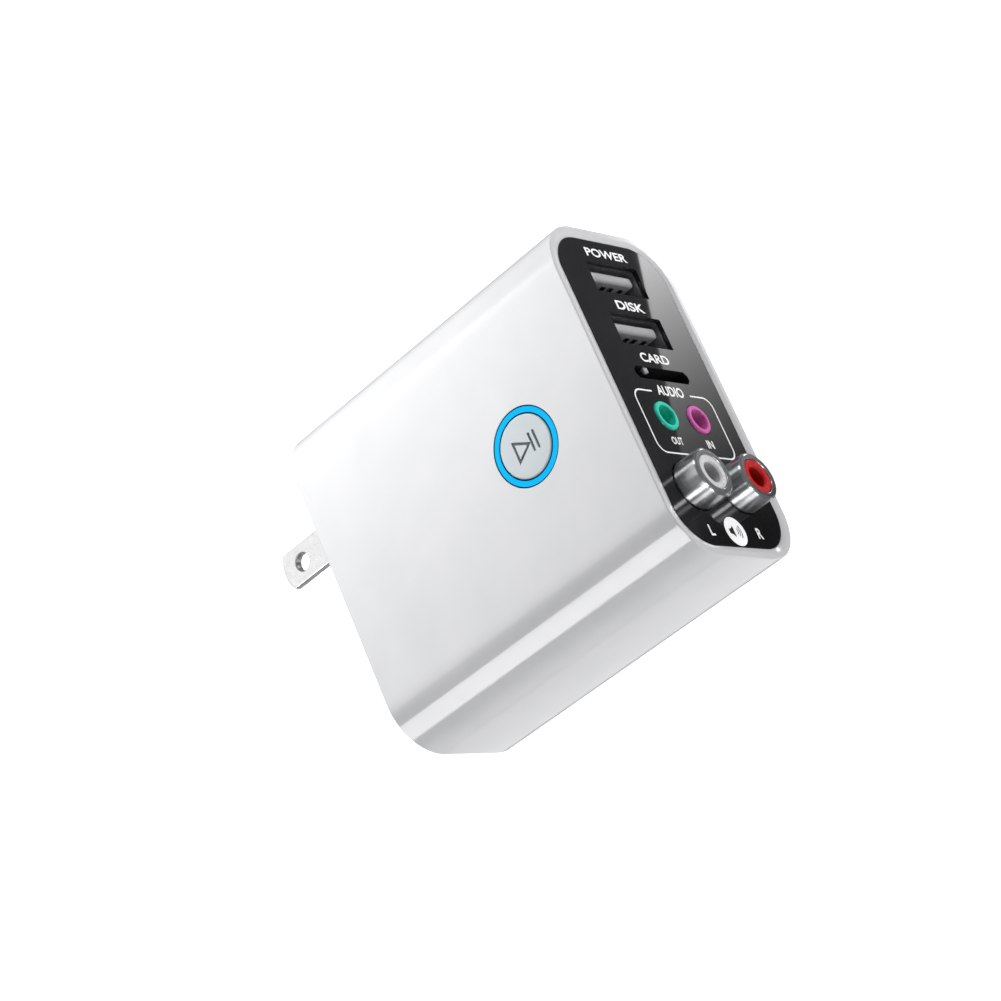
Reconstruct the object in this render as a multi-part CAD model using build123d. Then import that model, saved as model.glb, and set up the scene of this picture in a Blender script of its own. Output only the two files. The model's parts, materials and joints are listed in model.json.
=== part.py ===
"""Plug-in wireless audio receiver: a white sleeve with sockets at one end and folding blades at the other.

Frame: the receiver lies on its plain side face with the button upwards. +Z is up, -Y is the port end,
+Y is the mains end and +X points to the charging-port end of the port panel. The origin is the centre
of the face it rests on. Millimetres throughout.
"""
import os
from math import cos, radians, sin

from build123d import *

# ---- driving dimensions -------------------------------------------------------------------------
LENGTH_X = 60.0            # long side of the port panel
DEPTH_Y = 62.5             # sleeve, port end to mains end
THICK_Z = 31.5             # sleeve thickness
CORNER_R = 9.1             # outer corner radius of the sleeve section
WALL = 2.0
FIT = 0.05                 # gap round a plate that drops into the sleeve

FRONT = -DEPTH_Y / 2
REAR = DEPTH_Y / 2
MID_Z = THICK_Z / 2
INNER_X = LENGTH_X - 2 * WALL
INNER_Z = THICK_Z - 2 * WALL
INNER_R = CORNER_R - WALL
LEDGE = 1.0                # ledge that stops each end plate
LIP_BEVEL = 0.9            # width of the bevel inside the front lip
LIP_BEVEL_DEPTH = 0.3
LIP_ROUND, REAR_ROUND = 0.2, 0.15
BEYOND = 1.0               # how far cutters run past a face

# port panel: a thin glossy lens on a moulded frame
LENS_FRONT = FRONT + 0.25
LENS_T = 0.6
FRAME_FRONT = LENS_FRONT + LENS_T
FRAME_T = 2.0
FRAME_BACK = FRAME_FRONT + FRAME_T
BOARD_FRONT = -17.0        # port board
BOARD_T = 1.6
BOARD_BACK = BOARD_FRONT + BOARD_T
SOCKET_BACK = BOARD_FRONT - 0.3

# ports along the panel, as X positions; Z offsets are from the panel's centre line
CHARGE_PORT_X, DISK_PORT_X = 20.9, 11.2
CARD_SLOT_X = 3.0
JACK_X, JACK_DZ = -4.9, 4.2
PHONO_X, PHONO_DZ = -17.6, 5.9

PORT_W, PORT_H, PORT_SHEET = 13.1, 5.7, 0.3
TONGUE_W, TONGUE_T, TONGUE_GAP = 11.1, 1.84, 0.75
TONGUE_SINK = 0.25         # how far the tongue's tip lies behind the shell's front
CARD_SLOT_W, CARD_SLOT_H = 13.8, 2.2
JACK_NOSE_R, JACK_BORE_R = 2.58, 1.8
PHONO_R, PHONO_INNER_R, PHONO_OUT = 4.2, 3.05, 4.2
PHONO_HOLE_R, PHONO_PIN_R = 1.75, 1.6

# button on the top face
BUTTON_Y = -12.9
RING_R, RING_INNER_R = 6.35, 5.22
CAP_R = 5.1
PRESS = 0.5                # button travel
CAP_TOP = THICK_Z + 0.1

# boards that slide in rails along the sleeve
MAIN_Z0, MAIN_T = 23.8, 1.2
MAIN_TOP = MAIN_Z0 + MAIN_T
POWER_Z0, POWER_T = 5.0, 1.6
POWER_TOP = POWER_Z0 + POWER_T
RAIL_BOARD_X = 25.9        # half width of both boards
RAIL_X = 25.2              # inner face of the rails
RAIL_Y0, RAIL_Y1 = -13.5, 19.0
RAIL_GAP, RAIL_RIB = 0.05, 0.95

# folding mains blades
PIVOT_X = 12.9
PIVOT_DEPTH = 3.95
PIVOT_Y = REAR - PIVOT_DEPTH
BLADE_PITCH, BLADE_W, BLADE_T, BLADE_OUT = 12.7, 6.35, 1.5, 16.5
BLADE_HOLE_R, BLADE_HOLE_OUT = 1.55, 11.9
BLADE_TIP_SAG, BLADE_TIP_BEVEL = 1.0, 0.35     # height of the tip's arc, and the bevel along it
BLADE_ROOT = 2.0           # how far a blade's full width runs inside the pivot
BLADE_Z = (MID_Z + BLADE_PITCH / 2, MID_Z - BLADE_PITCH / 2)
TAIL_R, TAIL_HALF_W = 4.45, 1.0    # reach and half width of a blade's contact tail
ROTOR_R, ROTOR_HALF = 4.3, 10.0
TRUNNION_R, TRUNNION_L = 1.6, 1.25
HOUSING_Y = 21.5           # inner face of the blade housing
HOUSING_X0, HOUSING_X1 = 5.0, 21.2
HOUSING_HALF_Z = ROTOR_HALF + TRUNNION_L + 0.1
BAY_HALF = ROTOR_R + 0.35
WELL_X0 = PIVOT_X - PIVOT_DEPTH - BLADE_OUT - 0.75
WELL_Y0 = PIVOT_Y - BLADE_W / 2 - 0.4
WELL_HALF_Z = BLADE_T / 2 + 0.35
WELL_WALL = 1.0
SCOOP_X, SCOOP_R, SCOOP_DEPTH, SCOOP_HALF_Z = -3.5, 6.0, 1.4, 10.0
BRACKET_SCREW_X = (6.7, 19.5)
BRACKET_PILOT_R = 0.75
BRACKET_T = 1.4
CONTACT_LEG_X = (9.1, 17.1)
CONTACT_SHEET = 0.25
CONTACT_HALF_Z = 1.2
CONTACT_Y0, CONTACT_FOOT_L = 18.0, 1.0


# ---- helpers ------------------------------------------------------------------------------------
def block(x0, x1, y0, y1, z0, z1):
    """Box between two corners."""
    size = (x1 - x0, y1 - y0, z1 - z0)
    return Pos((x0 + x1) / 2, (y0 + y1) / 2, (z0 + z1) / 2) * Box(*size)


def section_plane(y):
    """Plane across the sleeve at y, with its local X along +X."""
    return Plane(origin=(0, y, MID_Z), x_dir=(1, 0, 0), z_dir=(0, 1, 0))


def rounded_prism(size_x, size_z, radius, y0, y1):
    """Rounded rectangle on the sleeve's axis, from y0 to y1."""
    outline = section_plane(y0) * RectangleRounded(size_x, size_z, radius)
    return extrude(outline, amount=y1 - y0)


def rod_y(x, z, radius, y0, y1):
    """Cylinder along Y."""
    disc = Plane(origin=(x, y0, z), x_dir=(1, 0, 0), z_dir=(0, 1, 0)) * Circle(radius)
    return extrude(disc, amount=y1 - y0)


def rod_z(x, y, radius, z0, z1):
    """Cylinder along Z."""
    return extrude(Pos(x, y, z0) * Circle(radius), amount=z1 - z0)


def rod_x(y, z, radius, x0, x1):
    """Cylinder along X."""
    disc = Plane(origin=(x0, y, z), x_dir=(0, 1, 0), z_dir=(1, 0, 0)) * Circle(radius)
    return extrude(disc, amount=x1 - x0)


def edges_at(shape, axis, value):
    """Edges of a shape that lie wholly at one coordinate along an axis."""
    return shape.edges().filter_by_position(axis, value - 1e-4, value + 1e-4)


# ---- housing ------------------------------------------------------------------------------------
def inner_prism(y0, y1, inset=0.0):
    """The sleeve's inside, shrunk by an inset."""
    return rounded_prism(INNER_X - 2 * inset, INNER_Z - 2 * inset, INNER_R - inset, y0, y1)


def ledge_ring(y0):
    """Internal ledge, LEDGE wide and LEDGE long."""
    return inner_prism(y0, y0 + LEDGE) - inner_prism(y0, y0 + LEDGE, LEDGE)


def board_rails(board_z0, board_t):
    """Pairs of ribs that hold a board's two long edges."""
    ribs = []
    for z0 in (board_z0 - RAIL_GAP - RAIL_RIB, board_z0 + board_t + RAIL_GAP):
        for side in (-1, 1):
            x0, x1 = sorted((side * RAIL_X, side * LENGTH_X / 2))
            rib = block(x0, x1, RAIL_Y0, RAIL_Y1, z0, z0 + RAIL_RIB)
            ribs.append(rib & inner_prism(RAIL_Y0, RAIL_Y1, -0.01))
    return ribs


def shell_sleeve():
    body = rounded_prism(LENGTH_X, THICK_Z, CORNER_R, FRONT, REAR)
    body = fillet(edges_at(body, Axis.Y, FRONT), LIP_ROUND)
    body = fillet(edges_at(body, Axis.Y, REAR), REAR_ROUND)
    body -= inner_prism(FRONT, REAR)
    mouth = section_plane(FRONT) * RectangleRounded(
        INNER_X + 2 * LIP_BEVEL, INNER_Z + 2 * LIP_BEVEL, INNER_R + LIP_BEVEL
    )
    throat = section_plane(FRONT + LIP_BEVEL_DEPTH) * RectangleRounded(INNER_X, INNER_Z, INNER_R)
    body -= loft([mouth, throat])
    body += ledge_ring(FRAME_BACK) + ledge_ring(REAR - WALL - LEDGE)
    for rib in board_rails(MAIN_Z0, MAIN_T) + board_rails(POWER_Z0, POWER_T):
        body += rib
    return body - rod_z(0, BUTTON_Y, RING_R + 0.1, THICK_Z - 2 * WALL, THICK_Z + BEYOND)


def panel_openings(plate, y0, y1, ease=0.0):
    """Cut the ports, the card slot, the jacks and the phono barrels through a panel plate."""
    for x in (CHARGE_PORT_X, DISK_PORT_X):
        plate -= port_hole(x, PORT_H + ease, PORT_W + ease, y0 - BEYOND, y1 + BEYOND)
    plate -= port_hole(CARD_SLOT_X, CARD_SLOT_H, CARD_SLOT_W, y0 - BEYOND, y1 + BEYOND)
    for side in (-1, 1):
        jack_z = MID_Z + side * JACK_DZ
        phono_z = MID_Z + side * PHONO_DZ
        plate -= rod_y(JACK_X, jack_z, JACK_NOSE_R + 0.07, y0 - BEYOND, y1 + BEYOND)
        plate -= rod_y(PHONO_X, phono_z, PHONO_R + 0.12, y0 - BEYOND, y1 + BEYOND)
    return plate


def io_lens():
    return panel_openings(inner_prism(LENS_FRONT, FRAME_FRONT, FIT), LENS_FRONT, FRAME_FRONT)


def port_hole(x, height, width, y0, y1):
    """Cutter for a rectangular port, height along X and width along Z."""
    return block(x - height / 2, x + height / 2, y0, y1, MID_Z - width / 2, MID_Z + width / 2)


# screw posts: X, Z and radius
FRAME_POSTS = ((24.0, 25.0, 1.8), (24.0, 6.5, 1.8), (-10.0, 26.25, 1.5), (-10.0, 5.25, 1.5))
POST_PILOT_R = 0.8


def io_frame():
    """Moulded frame behind the lens, with a screw post for each corner of the port board."""
    plate = inner_prism(FRAME_FRONT, FRAME_BACK, FIT)
    plate = panel_openings(plate, FRAME_FRONT, FRAME_BACK, ease=0.1)
    for x, z, radius in FRAME_POSTS:
        plate += rod_y(x, z, radius, FRAME_BACK, BOARD_FRONT)
        plate -= rod_y(x, z, POST_PILOT_R, FRAME_BACK + 2.0, BOARD_FRONT)
    return plate


def rear_cover():
    """End plate with the blade housing: an open-backed rotor bay and a well for each folded blade."""
    cover = inner_prism(REAR - WALL, REAR, FIT)
    housing_z0, housing_z1 = MID_Z - HOUSING_HALF_Z, MID_Z + HOUSING_HALF_Z
    cover += block(HOUSING_X0, HOUSING_X1, HOUSING_Y, REAR - WALL, housing_z0, housing_z1)
    for z in BLADE_Z:
        cover += block(WELL_X0 - WELL_WALL, HOUSING_X0, WELL_Y0 - WELL_WALL, REAR - WALL, z - 2.1, z + 2.1)
    bay_z0, bay_z1 = MID_Z - ROTOR_HALF - 0.1, MID_Z + ROTOR_HALF + 0.1
    cover -= block(PIVOT_X - BAY_HALF, PIVOT_X + BAY_HALF, HOUSING_Y, REAR, bay_z0, bay_z1)
    for z in BLADE_Z:
        cover -= block(WELL_X0, PIVOT_X, WELL_Y0, REAR, z - WELL_HALF_Z, z + WELL_HALF_Z)
    seat_r = TRUNNION_R + FIT
    cover -= block(PIVOT_X - seat_r, PIVOT_X + seat_r, HOUSING_Y, PIVOT_Y, housing_z0, housing_z1)
    cover -= rod_z(PIVOT_X, PIVOT_Y, seat_r, housing_z0, housing_z1)
    scoop_y = REAR + SCOOP_R - SCOOP_DEPTH
    cover -= rod_z(SCOOP_X, scoop_y, SCOOP_R, MID_Z - SCOOP_HALF_Z, MID_Z + SCOOP_HALF_Z)
    for x in BRACKET_SCREW_X:
        cover -= rod_y(x, MID_Z, BRACKET_PILOT_R, HOUSING_Y, HOUSING_Y + 4.5)
    return cover


# ---- folding plug -------------------------------------------------------------------------------
def blade(z):
    """Flat mains blade with an arched tip, a locating hole and a narrow contact tail."""
    tip = REAR + BLADE_OUT
    z0, z1 = z - BLADE_T / 2, z + BLADE_T / 2
    root_y = PIVOT_Y - BLADE_ROOT
    x0, x1 = PIVOT_X - BLADE_W / 2, PIVOT_X + BLADE_W / 2
    tip_r = ((BLADE_W / 2) ** 2 + BLADE_TIP_SAG ** 2) / (2 * BLADE_TIP_SAG)
    flat = block(x0, x1, root_y, tip - BLADE_TIP_SAG, z0, z1)
    flat += block(x0, x1, tip - tip_r, tip, z0, z1) & rod_z(PIVOT_X, tip - tip_r, tip_r, z0, z1)
    flat = chamfer(flat.edges().filter_by(GeomType.CIRCLE), BLADE_TIP_BEVEL)
    tail = block(PIVOT_X - TAIL_HALF_W, PIVOT_X + TAIL_HALF_W, PIVOT_Y - TAIL_R, root_y, z0, z1)
    tail &= rod_z(PIVOT_X, PIVOT_Y, TAIL_R, z0, z1)
    return flat + tail - rod_z(PIVOT_X, REAR + BLADE_HOLE_OUT, BLADE_HOLE_R, z0, z1)


def plug_rotor():
    """Round block with two flats, which turns on a trunnion at each end and grips both blades."""
    z0, z1 = MID_Z - ROTOR_HALF, MID_Z + ROTOR_HALF
    core = rod_z(PIVOT_X, PIVOT_Y, ROTOR_R, z0, z1)
    core &= block(PIVOT_X - ROTOR_R, PIVOT_X + PIVOT_DEPTH, PIVOT_Y - PIVOT_DEPTH, REAR, z0, z1)
    core += rod_z(PIVOT_X, PIVOT_Y, TRUNNION_R, z0 - TRUNNION_L, z1 + TRUNNION_L)
    for z in BLADE_Z:
        core -= blade(z)
    return core


def plug_bracket():
    """Retainer screwed over the open back of the rotor bay; its two fingers trap the trunnions."""
    z0, z1 = MID_Z - HOUSING_HALF_Z, MID_Z + HOUSING_HALF_Z
    plate = block(HOUSING_X0, HOUSING_X1, HOUSING_Y - BRACKET_T, HOUSING_Y, z0, z1)
    finger_end = PIVOT_Y - TRUNNION_R - 0.08
    for low, high in ((z0, z0 + TRUNNION_L), (z1 - TRUNNION_L, z1)):
        plate += block(PIVOT_X - TRUNNION_R, PIVOT_X + TRUNNION_R, HOUSING_Y, finger_end, low, high)
    for x in BRACKET_SCREW_X:
        plate -= rod_y(x, MID_Z, BRACKET_PILOT_R, HOUSING_Y - BRACKET_T, HOUSING_Y)
    half_z = CONTACT_HALF_Z + 0.05
    for z, x in zip(BLADE_Z, CONTACT_LEG_X):
        plate -= block(x - 0.18, x + 0.18, HOUSING_Y - BRACKET_T, HOUSING_Y, z - half_z, z + half_z)
    return plate


def blade_contact(z, leg_x):
    """Sprung strip that touches a blade's tail when the blades are out, with a leg to the power board."""
    toward = 1 if leg_x < PIVOT_X else -1
    half = CONTACT_SHEET / 2
    z0, z1 = z - CONTACT_HALF_Z, z + CONTACT_HALF_Z
    x0, x1 = sorted((leg_x - toward * half, leg_x + toward * 5.4))
    pad_y = PIVOT_Y - TAIL_R - 0.05
    pad = block(x0, x1, pad_y - CONTACT_SHEET, pad_y, z0, z1)
    web = block(leg_x - half, leg_x + half, CONTACT_Y0, pad_y, z0, z1)
    leg = block(leg_x - half, leg_x + half, CONTACT_Y0, CONTACT_Y0 + CONTACT_FOOT_L, POWER_TOP, z1)
    return pad + web + leg


def detent_spring():
    """Hat-shaped leaf that bears on the rotor's flats."""
    sheet, half_x, half_z = 0.2, 2.6, 2.7
    face = PIVOT_Y - ROTOR_R - 0.2
    z0, z1 = MID_Z - half_z, MID_Z + half_z
    leaf = block(PIVOT_X - half_x, PIVOT_X + half_x, face - sheet, face, z0, z1)
    for x in (PIVOT_X - half_x, PIVOT_X + half_x - sheet):
        leaf += block(x, x + sheet, HOUSING_Y, face - sheet, z0, z1)
    return leaf


def screw_y(x, z, head_y, toward, head_r, head_t, shank_r, shank_l):
    """Slotted pan-head screw along Y; the shank runs from the head's seat towards +Y or -Y."""
    slot_depth, slot_half = 0.4, 0.2
    outer_y = head_y - toward * head_t
    floor_y = outer_y + toward * slot_depth
    tip_y = head_y + toward * shank_l
    head = rod_y(x, z, head_r, min(head_y, outer_y), max(head_y, outer_y))
    head -= block(
        x - slot_half, x + slot_half, min(outer_y, floor_y), max(outer_y, floor_y),
        z - 0.7 * head_r, z + 0.7 * head_r,
    )
    return head + rod_y(x, z, shank_r, min(head_y, tip_y), max(head_y, tip_y))


def bracket_screws():
    return Compound([
        screw_y(x, MID_Z, HOUSING_Y - BRACKET_T, 1, 1.45, 1.0, BRACKET_PILOT_R - 0.03, 5.5)
        for x in BRACKET_SCREW_X
    ])


def frame_screws():
    return Compound([
        screw_y(x, z, BOARD_BACK, -1, 1.35, 0.9, POST_PILOT_R - 0.03, 7.0)
        for x, z, _ in FRAME_POSTS
    ])


# ---- ports --------------------------------------------------------------------------------------
PORT_FRONT = FRAME_FRONT + 0.1
PORT_BASE_Y = -20.0
PORT_CONTACT_DZ = (-3.5, -1.0, 1.0, 3.5)
SPRING_Y0, SPRING_Y1, SPRING_SLIT = -27.6, -23.4, 0.3
SPRING_DZ, SPRING_HALF = (-2.6, 2.6), 0.6


def port_shell(x):
    """Folded steel shell of a flat four-contact socket, wide along Z, with sprung tongues in its sides."""
    shell = port_hole(x, PORT_H, PORT_W, PORT_FRONT, SOCKET_BACK)
    shell = fillet(shell.edges().filter_by(Axis.Y), 0.5)
    inside = port_hole(x, PORT_H - 2 * PORT_SHEET, PORT_W - 2 * PORT_SHEET, PORT_FRONT, SOCKET_BACK)
    shell -= fillet(inside.edges().filter_by(Axis.Y), 0.2)
    for dz in SPRING_DZ:
        z, half = MID_Z + dz, SPRING_HALF + SPRING_SLIT
        slit = block(x - PORT_H, x + PORT_H, SPRING_Y0, SPRING_Y1, z - half, z + half)
        slit -= block(
            x - PORT_H, x + PORT_H, SPRING_Y0, SPRING_Y1 - SPRING_SLIT, z - SPRING_HALF, z + SPRING_HALF
        )
        shell -= slit
    return shell


def tongue_top(x):
    """X of the tongue's upper face."""
    return x + PORT_H / 2 - PORT_SHEET - TONGUE_GAP


def port_insulator(x):
    """Moulded base that fills the back of the shell and carries the tongue."""
    height, width = PORT_H - 2 * PORT_SHEET - 0.1, PORT_W - 2 * PORT_SHEET - 0.1
    base = port_hole(x, height, width, PORT_BASE_Y, SOCKET_BACK)
    base = fillet(base.edges().filter_by(Axis.Y), 0.25)
    top, tip = tongue_top(x), PORT_FRONT + TONGUE_SINK
    z0, z1 = MID_Z - TONGUE_W / 2, MID_Z + TONGUE_W / 2
    tongue = block(top - TONGUE_T, top, tip, PORT_BASE_Y, z0, z1)
    return base + chamfer(edges_at(tongue, Axis.Y, tip), 0.3)


def port_contacts(x):
    """Four contact strips under the tongue."""
    face = tongue_top(x) - TONGUE_T
    return Compound([
        block(face - 0.12, face, PORT_FRONT + 1.5, PORT_BASE_Y, MID_Z + dz - 0.5, MID_Z + dz + 0.5)
        for dz in PORT_CONTACT_DZ
    ])


CARD_BOARD_X0, CARD_BOARD_T, CARD_BOARD_HALF_Z = 1.0, 0.8, 7.0
CARD_X0 = CARD_BOARD_X0 + CARD_BOARD_T
CARD_X1 = CARD_X0 + 2.0
CARD_HALF_Z, CARD_SHEET = 6.85, 0.2
CARD_FRONT = FRAME_BACK + 0.2
CARD_STOP_Y = -19.8
CARD_CONTACTS, CARD_PITCH = 8, 1.1


def card_board():
    z0, z1 = MID_Z - CARD_BOARD_HALF_Z, MID_Z + CARD_BOARD_HALF_Z
    return block(CARD_BOARD_X0, CARD_X0, CARD_FRONT, BOARD_FRONT, z0, z1)


def card_socket_base():
    """Moulded floor and end stop of the card socket."""
    z0, z1 = MID_Z - CARD_HALF_Z + CARD_SHEET, MID_Z + CARD_HALF_Z - CARD_SHEET
    floor = block(CARD_X0, CARD_X0 + 0.5, CARD_FRONT, SOCKET_BACK, z0, z1)
    return floor + block(CARD_X0 + 0.5, CARD_X1 - CARD_SHEET, CARD_STOP_Y, SOCKET_BACK, z0, z1)


def card_socket_shield():
    """Steel cover over the card path, with a stop tab at its mouth."""
    z0, z1 = MID_Z - CARD_HALF_Z, MID_Z + CARD_HALF_Z
    cover = block(CARD_X1 - CARD_SHEET, CARD_X1, CARD_FRONT, SOCKET_BACK, z0, z1)
    for low in (z0, z1 - CARD_SHEET):
        cover += block(CARD_X0, CARD_X1, CARD_FRONT, SOCKET_BACK, low, low + CARD_SHEET)
    tab_y = FRAME_BACK - 1.9
    return cover + block(CARD_X1 - CARD_SHEET, CARD_X1, tab_y, CARD_FRONT, MID_Z + 3.2, MID_Z + 4.3)


def card_socket_contacts():
    x0, half = CARD_X0 + 0.5, 0.35
    strips = []
    for i in range(CARD_CONTACTS):
        z = MID_Z + (i - (CARD_CONTACTS - 1) / 2) * CARD_PITCH
        strips.append(block(x0, x0 + 0.15, -26.5, CARD_STOP_Y, z - half, z + half))
    return Compound(strips)


JACK_FRONT = LENS_FRONT - 0.35
JACK_BODY_FRONT = FRAME_BACK + 0.1
JACK_HALF = 3.5
JACK_BORE_END = -18.6


def jack_housing(side):
    """Coloured 3.5 mm socket: a round nose on a square body, with a channel for its spring strip."""
    z = MID_Z + side * JACK_DZ
    nose = rod_y(JACK_X, z, JACK_NOSE_R, JACK_FRONT, JACK_BODY_FRONT)
    nose = fillet(edges_at(nose, Axis.Y, JACK_FRONT), 0.3)
    x0, x1 = JACK_X - JACK_HALF, JACK_X + JACK_HALF
    body = block(x0, x1, JACK_BODY_FRONT, SOCKET_BACK, z - JACK_HALF, z + JACK_HALF)
    body = body + nose - rod_y(JACK_X, z, JACK_BORE_R, JACK_FRONT, JACK_BORE_END)
    return body - jack_contact(side, ease=0.02)


def jack_contact(side, ease=0.0):
    """Spring strip laid beside the bore."""
    z = MID_Z + side * JACK_DZ
    x0 = JACK_X + JACK_BORE_R + 0.1
    return block(x0 - ease, x0 + 0.3 + ease, -26.0 - ease, SOCKET_BACK, z - 0.8 - ease, z + 0.8 + ease)


PHONO_FRONT = FRONT - PHONO_OUT
PHONO_FLANGE_R, PHONO_FLANGE_Y = PHONO_R + 1.0, FRAME_BACK + 1.4
PHONO_NECK_R, PHONO_NECK_Y = PHONO_R - 0.4, LENS_FRONT - 0.1     # the plated wall ends just off the lens
PHONO_CORE_END, PHONO_HOLE_END = -24.0, -25.5
PHONO_HALF_X, PHONO_HALF_Z = 5.9, 11.6


def phono_barrel(side):
    """Plated outer contact with a flange behind the frame."""
    z = MID_Z + side * PHONO_DZ
    barrel = rod_y(PHONO_X, z, PHONO_R, PHONO_FRONT, PHONO_NECK_Y)
    barrel = fillet(edges_at(barrel, Axis.Y, PHONO_FRONT), 0.5)
    barrel += rod_y(PHONO_X, z, PHONO_NECK_R, PHONO_NECK_Y, PHONO_FLANGE_Y)
    barrel += rod_y(PHONO_X, z, PHONO_FLANGE_R, FRAME_BACK, PHONO_FLANGE_Y)
    return barrel - rod_y(PHONO_X, z, PHONO_INNER_R, PHONO_FRONT, PHONO_FLANGE_Y)


def phono_insulator(side):
    z = MID_Z + side * PHONO_DZ
    front = PHONO_FRONT + 0.15
    core = rod_y(PHONO_X, z, PHONO_INNER_R - FIT, front, PHONO_CORE_END)
    core = fillet(edges_at(core, Axis.Y, front), 0.2)
    return core - rod_y(PHONO_X, z, PHONO_HOLE_R, PHONO_FRONT, PHONO_HOLE_END)


def phono_contact(side):
    """Sleeve inside the insulator that grips the plug's pin."""
    z = MID_Z + side * PHONO_DZ
    tube = rod_y(PHONO_X, z, PHONO_HOLE_R - 0.02, PHONO_FRONT + 3.2, PHONO_HOLE_END - FIT)
    return tube - rod_y(PHONO_X, z, PHONO_PIN_R, PHONO_FRONT, PHONO_HOLE_END)


def phono_housing():
    """One moulded block behind both phono sockets."""
    x0, x1 = PHONO_X - PHONO_HALF_X, PHONO_X + PHONO_HALF_X
    body = block(x0, x1, PHONO_FLANGE_Y, SOCKET_BACK, MID_Z - PHONO_HALF_Z, MID_Z + PHONO_HALF_Z)
    for side in (-1, 1):
        z = MID_Z + side * PHONO_DZ
        body -= rod_y(PHONO_X, z, PHONO_INNER_R, PHONO_FLANGE_Y, PHONO_CORE_END + 0.1)
    return body


# ---- button -------------------------------------------------------------------------------------
RING_BASE = 27.2
FLANGE_R, FLANGE_Z0, FLANGE_Z1 = RING_R + 1.05, 28.4, THICK_Z - WALL - 0.05
CAP_BASE, CAP_FLANGE_Z = 28.3, 29.3
CAP_FLANGE_R, CAP_WALL = CAP_R + 0.5, 1.2
STEM_R, STEM_BASE = 1.5, 27.6
SWITCH_HALF, SWITCH_TOP, SWITCH_R, SWITCH_FLOOR = 3.0, 26.9, 1.4, 25.6
LAMP_ORBIT, LAMP_ANGLES = 5.9, (45, 135, 225, 315)


def light_ring():
    """Translucent ring that frames the button and carries light up from the board."""
    ring = rod_z(0, BUTTON_Y, RING_R, RING_BASE, THICK_Z)
    ring += rod_z(0, BUTTON_Y, FLANGE_R, FLANGE_Z0, FLANGE_Z1)
    ring -= rod_z(0, BUTTON_Y, RING_INNER_R, RING_BASE, THICK_Z)
    return ring - rod_z(0, BUTTON_Y, CAP_FLANGE_R + 0.35, RING_BASE, CAP_FLANGE_Z + 0.1)


def button_cap():
    """Hollow cap, kept in by a flange under the ring, with a stem that bears on the switch."""
    cap = rod_z(0, BUTTON_Y, CAP_R, CAP_BASE, CAP_TOP)
    cap = fillet(edges_at(cap, Axis.Z, CAP_TOP), 0.35)
    cap += rod_z(0, BUTTON_Y, CAP_FLANGE_R, CAP_BASE, CAP_FLANGE_Z)
    cap -= rod_z(0, BUTTON_Y, CAP_R - CAP_WALL, CAP_BASE, CAP_TOP - CAP_WALL)
    return cap + rod_z(0, BUTTON_Y, STEM_R, STEM_BASE, CAP_TOP - CAP_WALL)


def switch_body():
    y0, y1 = BUTTON_Y - SWITCH_HALF, BUTTON_Y + SWITCH_HALF
    body = block(-SWITCH_HALF, SWITCH_HALF, y0, y1, MAIN_TOP, SWITCH_TOP)
    return body - rod_z(0, BUTTON_Y, SWITCH_R + FIT, SWITCH_FLOOR, SWITCH_TOP)


def switch_plunger():
    return rod_z(0, BUTTON_Y, SWITCH_R, SWITCH_FLOOR + PRESS + 0.1, STEM_BASE)


def ring_leds():
    """Four surface-mount lamps under the ring."""
    lamps = []
    for angle in LAMP_ANGLES:
        x = LAMP_ORBIT * cos(radians(angle))
        y = BUTTON_Y + LAMP_ORBIT * sin(radians(angle))
        lamps.append(block(x - 0.8, x + 0.8, y - 0.4, y + 0.4, MAIN_TOP, MAIN_TOP + 0.6))
    return Compound(lamps)


# ---- boards and components ----------------------------------------------------------------------
def io_board():
    board = rounded_prism(53.0, 24.8, 5.8, BOARD_FRONT, BOARD_BACK)
    board -= block(-8.3, 8.3, BOARD_FRONT, BOARD_BACK, MAIN_Z0 - 0.5, THICK_Z)
    for x, z, _ in FRAME_POSTS:
        board -= rod_y(x, z, POST_PILOT_R, BOARD_FRONT, BOARD_BACK)
    return board


def main_board():
    """Receiver board; its tongue reaches forward under the button."""
    board = block(-RAIL_BOARD_X, RAIL_BOARD_X, -14.0, 19.5, MAIN_Z0, MAIN_TOP)
    return board + block(-8.0, 8.0, -19.8, -14.0, MAIN_Z0, MAIN_TOP)


def power_board():
    return block(-RAIL_BOARD_X + 0.1, RAIL_BOARD_X - 0.1, -13.6, 19.0, POWER_Z0, POWER_TOP)


def board_header():
    """Plastic strip that joins the port board to the underside of the main board."""
    return block(10.0, 20.2, BOARD_BACK, -12.4, MAIN_Z0 - 2.5, MAIN_Z0)


HEADER_PIN_X, HEADER_PIN_HALF = 22.0, 0.3
HEADER_PIN_Y = (-9.0, -6.5, -4.0, -1.5)


def power_header():
    """Tall pins that carry the supply from the power board up to the main board."""
    x0, x1 = HEADER_PIN_X - HEADER_PIN_HALF, HEADER_PIN_X + HEADER_PIN_HALF
    return Compound([
        block(x0, x1, y - HEADER_PIN_HALF, y + HEADER_PIN_HALF, POWER_TOP, MAIN_Z0) for y in HEADER_PIN_Y
    ])


TRANS_X, TRANS_Y, TRANS_HALF = -12.0, -2.0, 8.0
BOBBIN_T = 1.15
CORE_Z0, CORE_Z1 = POWER_TOP + 1.2, POWER_TOP + 13.2
CORE_YOKE, CORE_LEG_HALF, CORE_HALF_Y = 2.2, 2.2, 6.0


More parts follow.
